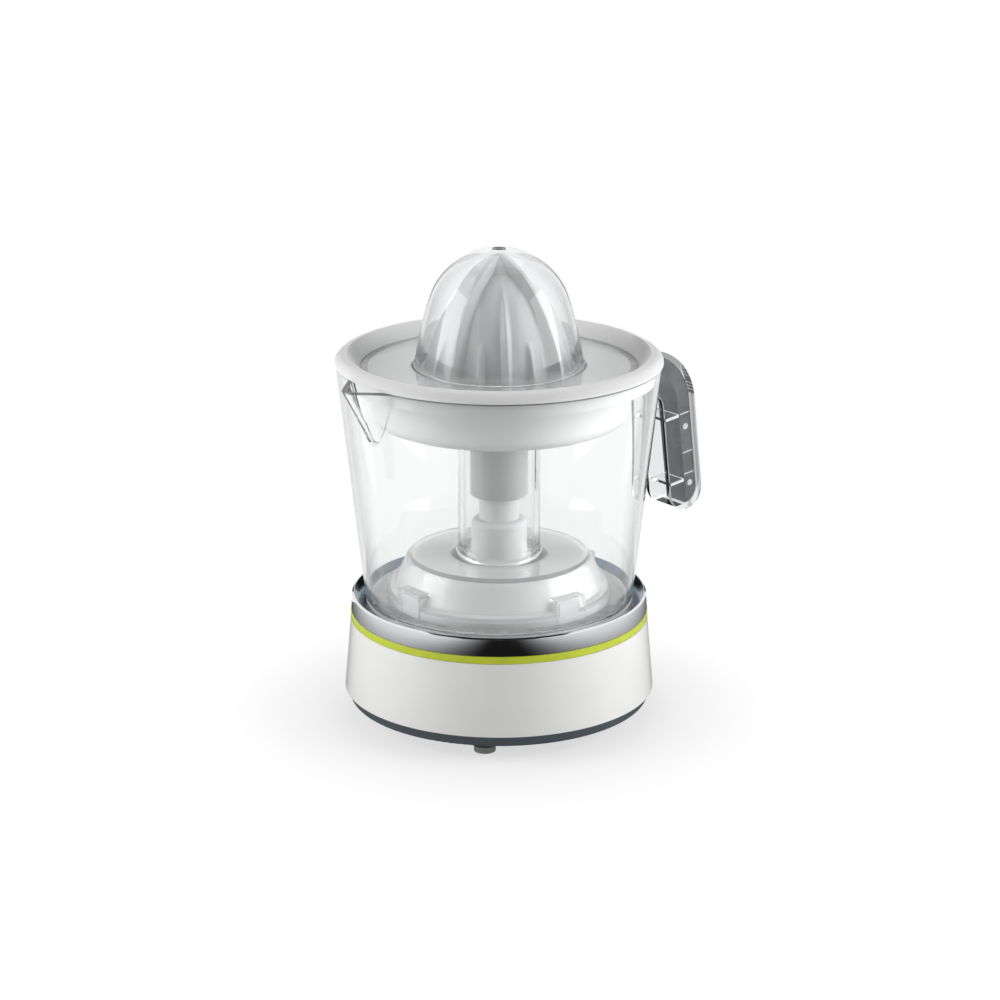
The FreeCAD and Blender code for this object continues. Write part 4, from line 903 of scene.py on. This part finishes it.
    def build(self) -> None:
        """Dress the base's CAD nodes and make its trim ring, pads and screws."""
        self.trim()
        pads = Ring("pad_ring", self.foot_count, self.foot_circle, self.foot_angle)
        add_piece("treaded_pads", pads.mesh(self.pad(), PAD_RUBBER), Body.BASE, PAD_RUBBER, ["foot_pads"])
        screws = Ring("screw_ring", self.screw_count, self.screw_circle, self.screw_angle)
        add_piece("cross_screws", screws.mesh(self.screw(), STEEL), Body.BASE, STEEL, ["base_screws"])
        dress(SLATE, "base_plate")
        dress(WHITE_GLOSS, "base_shell")
        dress(WHITE_MATT_PAINTED_SHADE, "deck_hub")
        dress(DARK, "cord_gland")
        dress(LIME, "accent_ring")


@dataclass
class DriveTrain:
    """Motor, gears, spindle and return spring."""

    spring_radius: float = 7.4
    spring_wire: float = 1.2
    spring_turns: int = 5
    spring_foot: float = 65.3
    spring_top: float = 87.7
    spring_keep: float = 0.88
    turn_steps: int = 48
    wire_steps: int = 10

    def spring(self) -> None:
        """Make the coil spring."""
        half = self.spring_wire / 2
        climb = self.spring_top - self.spring_foot - self.spring_wire
        steps = self.turn_steps * self.spring_turns
        up = Vector((0.0, 0.0, 1.0))
        around = even_turns(self.wire_steps)
        middles, rows = [], []
        for step in range(steps + 1):
            turn = math.tau * step / self.turn_steps
            out = polar(1.0, turn, 0.0)
            middles.append(polar(self.spring_radius, turn, self.spring_foot + half + climb * step / steps))
            rows.append([middles[-1] + half * (out * math.cos(a) + up * math.sin(a)) for a in around])
        mesh = bmesh.new()
        skin(mesh, [[middles[0]], *rows, [middles[-1]]])
        coil = add_piece("return_coil", mesh, Body.DRIVE, STEEL, ["return_spring"])
        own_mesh(coil)

    def build(self) -> None:
        """Dress the drive's CAD nodes and make its spring."""
        self.spring()
        dress(GEAR, "rotor_pinion", "idler_gear", "output_gear", "switch_plunger")
        dress(STEEL, "gear_plate", "plate_screws", "rotor_shaft", "idler_pin", "drive_shaft")
        dress(BRONZE, "bearing_bushes")
        dress(CORE, "stator_core")
        dress(DARK, "coil_bobbins", "switch_body")
        dress(COPPER, "coil_windings")
        dress(MAGNET, "rotor_magnet")
        dress(WHITE_MATT_PAINTED_SHADE, "drive_spindle")


@dataclass
class Vessel:
    """Clear jug with its handle and grip."""

    bow: Bow = HANDLE
    bar_depth: float = 8.2
    bar_start: float = 64.0
    bar_run: float = 50.0
    bar_half: float = 7.35
    bar_round: float = 0.9
    bar_round_steps: int = 3
    foot_gap: float = 0.05
    foot_steps: int = 12
    ridge_runs: tuple[float, ...] = (7.4, 29.5, 41.7)
    ridge_reach: float = 6.6
    ridge_width: float = 0.7
    boss_runs: tuple[float, ...] = (15.0, 47.5)
    boss_radius: float = 1.7
    boss_steps: int = 24
    proud: float = 0.2
    sunk: float = 0.3

    def bar(self) -> None:
        """Make the soft bar with a round foot in place of its CAD node."""
        outer = self.bow.radius - self.bow.wall
        inner = self.bow.wall + self.bar_depth
        radius = self.bar_depth - self.foot_gap
        outline = self.bow.bend(outer, self.bar_start)
        for step in range(self.foot_steps + 1):
            turn = math.pi / 2 * step / self.foot_steps
            run = self.bar_run + radius * math.sin(turn)
            outline.append(self.bow.spot(run, inner - radius * math.cos(turn)))
        outline += reversed(self.bow.bend(outer - self.bar_depth, self.bar_start))
        mesh = bmesh.new()
        sides = prism(mesh, outline, -self.bar_half, self.bar_half)
        edges = [edge for side in sides for edge in side.edges]
        bmesh.ops.bevel(mesh, geom=edges, offset=self.bar_round * MM, segments=self.bar_round_steps,
                        profile=0.5, affect="EDGES")
        bmesh.ops.triangulate(mesh, faces=[face for face in mesh.faces if len(face.verts) > 4])
        add_piece("grip_bar", mesh, Body.JUG, GRIP, ["grip_insert"])

    def ridges(self) -> None:
        """Make thin ridges and small round bosses on both sides of the bar, pale in part as a painted
        highlight.
        """
        middle = self.bow.wall + self.bar_depth / 2
        half, reach = self.ridge_width / 2, self.ridge_reach / 2
        strip = [(-half, -reach), (-half, reach), (half, reach), (half, -reach)]
        disc = [polar(self.boss_radius, turn, 0.0).yx for turn in even_turns(self.boss_steps)]
        marks = [(run, strip) for run in self.ridge_runs] + [(run, disc) for run in self.boss_runs]
        mesh = bmesh.new()
        for run, shape in marks:
            outline = [self.bow.spot(run + along, middle + across) for along, across in shape]
            for side in (-1.0, 1.0):
                prism(mesh, outline, side * (self.bar_half - self.sunk), side * (self.bar_half + self.proud))
        add_piece("grip_ridges", mesh, Body.JUG, PALE_PAINTED_HIGHLIGHT)

    def build(self) -> None:
        """Dress the jug and handle and make the grip."""
        dress(CLEAR_JUG, "jug")
        dress(CLEAR_HANDLE, "jug_handle")
        self.bar()
        self.ridges()


@dataclass
class Top:
    """Strainer basket and dust cover."""

    def build(self) -> None:
        """Dress the strainer and the cover."""
        dress(WHITE_SATIN, "strainer")
        dress(CLEAR_COVER, "dust_cover")


def taper(share: float, bulge: float, point: float) -> float:
    """Radius of a bulging cone at a share of its height, as a share of its radius at the foot."""
    return max(1.0 - min(share, 1.0) ** bulge, 0.0) ** point


@dataclass
class Reamer:
    """Ribbed cone on a stem: full fins, tall ribs and short ribs with hollows between them."""

    foot: float = 160.6
    height: float = 83.0
    fin_count: int = 4
    fin_angle: float = 13.0
    fin_radius: float = 42.6
    fin_bulge: float = 2.2
    fin_point: float = 0.645
    fin_half: float = 1.0
    rib_count: int = 16
    rib_half: float = 0.5
    rib_tip: float = 0.3
    rib_widen: float = 2.0
    rib_power: float = 0.75
    tall_height: float = 70.0
    tall_lift: float = 7.0
    short_height: float = 44.0
    short_lift: float = 7.5
    core_height: float = 77.0
    core_radius: float = 34.0
    core_bulge: float = 3.0
    core_point: float = 0.66
    core_wall: float = 2.6
    core_least: float = 0.5
    cavity_roof: float = 3.9
    cavity_rows: int = 24
    skirt_radius: float = 44.0
    skirt_height: float = 2.4
    edge_round: float = 0.5
    flank: float = 2.6
    hollow: float = 1.6
    neighbours: int = 2
    stem_radius: float = 14.9
    stem_foot: float = 117.7
    stem_round: float = 0.8
    neck_rise: float = 38.5
    neck_roof: float = 5.2
    neck_share: float = 0.4
    socket_sides: int = 6
    socket_flats: float = 15.6
    socket_depth: float = 60.0
    columns: int = 40
    column_crowding: float = 1.9
    rows: int = 110
    stem_columns: int = 96
    crease: float = 50.0
    merge: float = 1e-7

    def fin(self, rise: float) -> float:
        """Radius of a full fin's crest at a rise above the foot."""
        return self.fin_radius * taper(rise / self.height, self.fin_bulge, self.fin_point)

    def core(self, rise: float) -> float:
        """Radius of the core between the ribs at a rise above the foot."""
        bare = self.core_radius * taper(rise / self.core_height, self.core_bulge, self.core_point)
        return max(bare, self.core_least * self.fin(rise))

    def crest(self, number: int, rise: float) -> Point:
        """Crest of a rib.

        Args:
            number: Its place round the cone; every fourth is a full fin.
            rise: Rise above the foot.

        Returns:
            Radius of the crest and half its width.
        """
        per_fin = self.rib_count // self.fin_count
        place = number % per_fin
        if place == 0:
            return self.fin(rise), self.fin_half
        tall = place == per_fin // 2
        height, lift = (self.tall_height, self.tall_lift) if tall else (self.short_height, self.short_lift)
        share = max(0.0, 1.0 - rise / height)
        half = self.rib_half * min(1.0, self.rib_tip + self.rib_widen * share)
        return self.core(rise) + lift * share ** self.rib_power, half

    def radius(self, angle: float, rise: float) -> float:
        """Radius of the ribbed surface.

        Args:
            angle: Angle round the cone from the first fin.
            rise: Rise above the foot.

        Returns:
            The radius.
        """
        core = self.core(rise)
        best = core
        spacing = 360.0 / self.rib_count
        near = round(angle / spacing)
        for number in range(near - self.neighbours, near + self.neighbours + 1):
            crest, half = self.crest(number, rise)
            across = abs(math.radians(angle - number * spacing)) * (core + crest) / 2
            share = max(0.0, 1.0 - max(0.0, across - half) / self.flank)
            best = max(best, core + (crest - core) * share ** self.hollow)
        return best

    def angles(self) -> list[float]:
        """Angles of the columns from the first fin.

        Returns:
            The angles, closer together near the crests.
        """
        spacing = 360.0 / self.rib_count
        found = []
        for number in range(self.rib_count):
            for step in range(self.columns):
                share = 2.0 * step / self.columns - 1.0
                shift = 0.5 * math.copysign(abs(share) ** self.column_crowding, share)
                found.append((number + shift) * spacing)
        return found

    def shell(self, mesh: Mesh) -> None:
        """Add the ribbed shell with its skirt and inner hollow.

        Args:
            mesh: Mesh to add to.
        """
        angles = self.angles()
        turns = [math.radians(angle + self.fin_angle) for angle in angles]
        top = self.foot + self.skirt_height
        rows = [
            ring(self.skirt_radius, self.foot, turns),
            ring(self.skirt_radius, top - self.edge_round, turns),
            ring(self.skirt_radius - self.edge_round, top, turns),
        ]
        climb = self.height - self.skirt_height
        for row in range(self.rows):
            rise = self.skirt_height + climb * math.sin(math.pi / 2 * row / self.rows)
            rows.append([polar(self.radius(angle, rise), turn, self.foot + rise)
                         for angle, turn in zip(angles, turns)])
        rows.append([Vector((0.0, 0.0, self.foot + self.height))])
        skin(mesh, rows)
        cavity = [ring(self.skirt_radius, self.foot, turns)]
        cavity_radius = self.core_radius - self.core_wall
        cavity_height = self.core_height - self.cavity_roof
        for row in range(self.cavity_rows):
            share = math.sin(math.pi / 2 * row / self.cavity_rows)
            bare = cavity_radius * taper(share, self.core_bulge, self.core_point)
            cavity.append(ring(bare, self.foot + cavity_height * share, turns))
        cavity.append([Vector((0.0, 0.0, self.foot + cavity_height))])
        skin(mesh, [list(reversed(row)) for row in cavity])

    def socket(self, z: float, ease: float = 0.0) -> list[Vector]:
        """Six-sided ring of the socket.

        Args:
            z: Height.
            ease: How much further out its flats are than further in.

        Returns:
            Its points.
        """
        side = math.tau / self.socket_sides
        points = []
        for turn in even_turns(self.stem_columns):
            radius = (self.socket_flats / 2 + ease) / math.cos(turn % side - side / 2)
            points.append(polar(radius, turn, z))
        return points

    def stem(self, mesh: Mesh) -> None:
        """Add the stem with its six-sided socket.

        Args:
            mesh: Mesh to add to.
        """
        turns = even_turns(self.stem_columns)
        foot = self.stem_foot
        end = foot + self.socket_depth
        top = self.foot + self.core_height - self.neck_roof
        skin(mesh, [
            [Vector((0.0, 0.0, end))],
            self.socket(end),
            self.socket(foot + self.stem_round),
            self.socket(foot, self.stem_round),
            ring(self.stem_radius - self.stem_round, foot, turns),
            ring(self.stem_radius, foot + self.stem_round, turns),
            ring(self.stem_radius, self.foot + self.neck_rise, turns),
            ring(self.stem_radius * self.neck_share, top, turns),
            [Vector((0.0, 0.0, top))],
        ])

    def build(self) -> None:
        """Make the reamer in place of its CAD node."""
        mesh = bmesh.new()
        self.shell(mesh)
        self.stem(mesh)
        bmesh.ops.remove_doubles(mesh, verts=mesh.verts, dist=self.merge)
        add_piece("reamer_cone", mesh, Body.REAMER, CONE_PAINTED_SHADE, ["reamer"], crease=self.crease)


@dataclass
class Studio:
    """Floor, backdrop light, lamps, dark cards and camera."""

    camera_place: tuple[float, float, float] = (-0.92317, -1.16060, 0.5785)
    camera_tilt: float = 72.59
    camera_turn: float = -38.5
    camera_lens: float = 108.0
    camera_sensor: float = 36.0
    camera_shift: float = 0.0009
    front: float = 231.5
    aim_height: float = 0.12
    even_light: float = 0.32
    floor_radius: float = 6.0
    floor_columns: int = 96
    floor_colour: Colour = (0.88, 0.88, 0.88)
    shade_near: float = 0.08
    shade_far: float = 0.15
    white_near: float = 0.65
    card_glow: float = 0.015
    fade_start: float = 0.05
    fade_end: float = 0.34
    fade_dark: float = 0.01
    fade_light: float = 0.85
    table_card_reach: float = 0.38
    table_card_rise: float = 0.001
    table_card_turn: float = 3.0

    def camera(self) -> None:
        """Set the camera at the photograph's viewing angle."""
        data = bpy.data.cameras.new("camera")
        data.lens = self.camera_lens
        data.sensor_width = self.camera_sensor
        data.sensor_fit = "HORIZONTAL"
        data.shift_x = self.camera_shift
        camera = put("camera", data)
        camera.location = self.camera_place
        camera.rotation_euler = (math.radians(self.camera_tilt), 0.0, math.radians(self.camera_turn))
        bpy.context.scene.camera = camera

    def world(self) -> None:
        """Make white surroundings to look at and a weaker even light from them."""
        world = bpy.data.worlds.new("studio")
        world.use_nodes = True
        graph = Graph(world.node_tree)
        lights = []
        for strength in (self.even_light, 1.0):
            inputs = {"Color": (1.0, 1.0, 1.0, 1.0), "Strength": strength}
            lights.append(graph.node("ShaderNodeBackground", inputs).outputs["Background"])
        graph.node("ShaderNodeOutputWorld", {"Surface": graph.blend(graph.sight(), *lights)})
        bpy.context.scene.world = world

    def floor_shade(self, graph: Graph) -> Socket:
        """Pale matt surface that turns white to look at further out.

        Args:
            graph: Tree to add to.

        Returns:
            The shader's socket.
        """
        matt = graph.node("ShaderNodeBsdfDiffuse", {"Color": (*self.floor_colour, 1.0)}).outputs["BSDF"]
        white = graph.node("ShaderNodeEmission", {"Strength": 1.0}).outputs["Emission"]
        place = graph.place()
        away = graph.span(graph.axis(place, "X"), graph.axis(place, "Y"))
        fade = graph.ramp(away, self.shade_near, self.shade_far, self.white_near, 1.0, soft=True)
        return graph.blend(graph.reckon("MULTIPLY", graph.sight(), fade), matt, white)

    def floor(self) -> None:
        """Add a pale floor that keeps a soft shadow."""
        mesh = bmesh.new()
        bmesh.ops.create_circle(mesh, cap_ends=True, segments=self.floor_columns, radius=self.floor_radius)
        floor = put_mesh("studio_floor", mesh, make_material("studio_floor", self.floor_shade))

    def aim(self, thing: bpy.types.Object, side: float, rise: float, distance: float) -> None:
        """Place a lamp or card around the object and turn it to face the object.

        Args:
            thing: Object whose -Z axis is its face.
            side: Degrees to the right of the camera's own direction.
            rise: Degrees above the floor.
            distance: Metres from the object's middle.
        """
        turn = math.radians(self.front + side)
        tilt = math.radians(rise)
        away = polar(math.cos(tilt), turn, math.sin(tilt))
        thing.location = Vector((0.0, 0.0, self.aim_height)) + distance * away
        thing.rotation_euler = away.to_track_quat("Z", "Y").to_euler()

    def lamp(self, name: str, size: Point, power: float, **place: float) -> None:
        """Add one soft box lamp that faces the object.

        Args:
            name: Its name.
            size: Width and height in metres.
            power: Power in watts.
            place: Side, rise and distance to aim it from.
        """
        data = bpy.data.lights.new(name, "AREA")
        data.shape = "RECTANGLE"
        data.size, data.size_y = size
        data.energy = power
        lamp = put(name, data)
        lamp.visible_glossy = False
        self.aim(lamp, **place)

    def card_shade(self, graph: Graph, fade_width: float) -> Socket:
        """Dark glow of a card.

        Args:
            graph: Tree to add to.
            fade_width: Width of a card that turns pale towards its left and right, or 0 for an even one.

        Returns:
            The shader's socket.
        """
        glow: Source = self.card_glow
        if fade_width > 0.0:
            away = graph.reckon("ABSOLUTE", graph.axis(graph.place(), "X"))
            start, end = self.fade_start * fade_width, self.fade_end * fade_width
            glow = graph.ramp(away, start, end, self.fade_dark, self.fade_light, soft=True)
        return graph.node("ShaderNodeEmission", {"Strength": glow}).outputs["Emission"]

    def card(self, name: str, size: Point, fades: bool = False) -> bpy.types.Object:
        """Add a dark card that only gloss shows.

        Args:
            name: Its name.
            size: Width and height in metres.
            fades: Whether it turns pale towards its left and right edges.

        Returns:
            The card, lying flat at the origin.
        """
        mesh = bmesh.new()
        bmesh.ops.create_grid(mesh, x_segments=1, y_segments=1, size=0.5)
        bmesh.ops.scale(mesh, vec=(*size, 1.0), verts=mesh.verts)
        fade_width = size[0] if fades else 0.0
        material = make_material(name, lambda graph: self.card_shade(graph, fade_width))
        card = put_mesh(name, mesh, material)
        card.visible_camera = False
        card.visible_diffuse = False
        card.visible_transmission = False
        card.visible_shadow = False
        return card

    def build(self) -> None:
        """Set the studio up."""
        bpy.context.scene.view_settings.view_transform = "Standard"
        self.world()
        self.floor()
        self.lamp("left_box", size=(0.6, 1.0), power=7.5, side=-82.0, rise=14.0, distance=1.0)
        self.lamp("right_box", size=(0.6, 1.0), power=8.5, side=80.0, rise=14.0, distance=1.0)
        self.lamp("top_box", size=(0.8, 0.8), power=2.0, side=180.0, rise=66.0, distance=1.1)
        self.aim(self.card("front_card", size=(2.4, 2.6)), side=0.0, rise=22.0, distance=2.2)
        self.aim(self.card("ceiling_card", size=(2.2, 2.0)), side=0.0, rise=78.0, distance=1.9)
        for side in (-162.0, 162.0):
            self.aim(self.card("edge_card", size=(0.35, 1.6)), side=side, rise=8.0, distance=1.6)
        table_card = self.card("table_card", size=(1.0, 1.1), fades=True)
        turn = math.radians(self.front + self.table_card_turn)
        table_card.location = polar(self.table_card_reach, turn, self.table_card_rise)
        table_card.rotation_euler = (0.0, 0.0, turn - math.pi / 2)
        self.camera()


def main() -> None:
    """Build each sub-assembly and the studio."""
    logging.basicConfig(level=logging.INFO, format="%(message)s")
    for part in (BaseUnit(), DriveTrain(), Vessel(), Top(), Reamer(), Studio()):
        part.build()


if __name__ == "__main__":
    main()
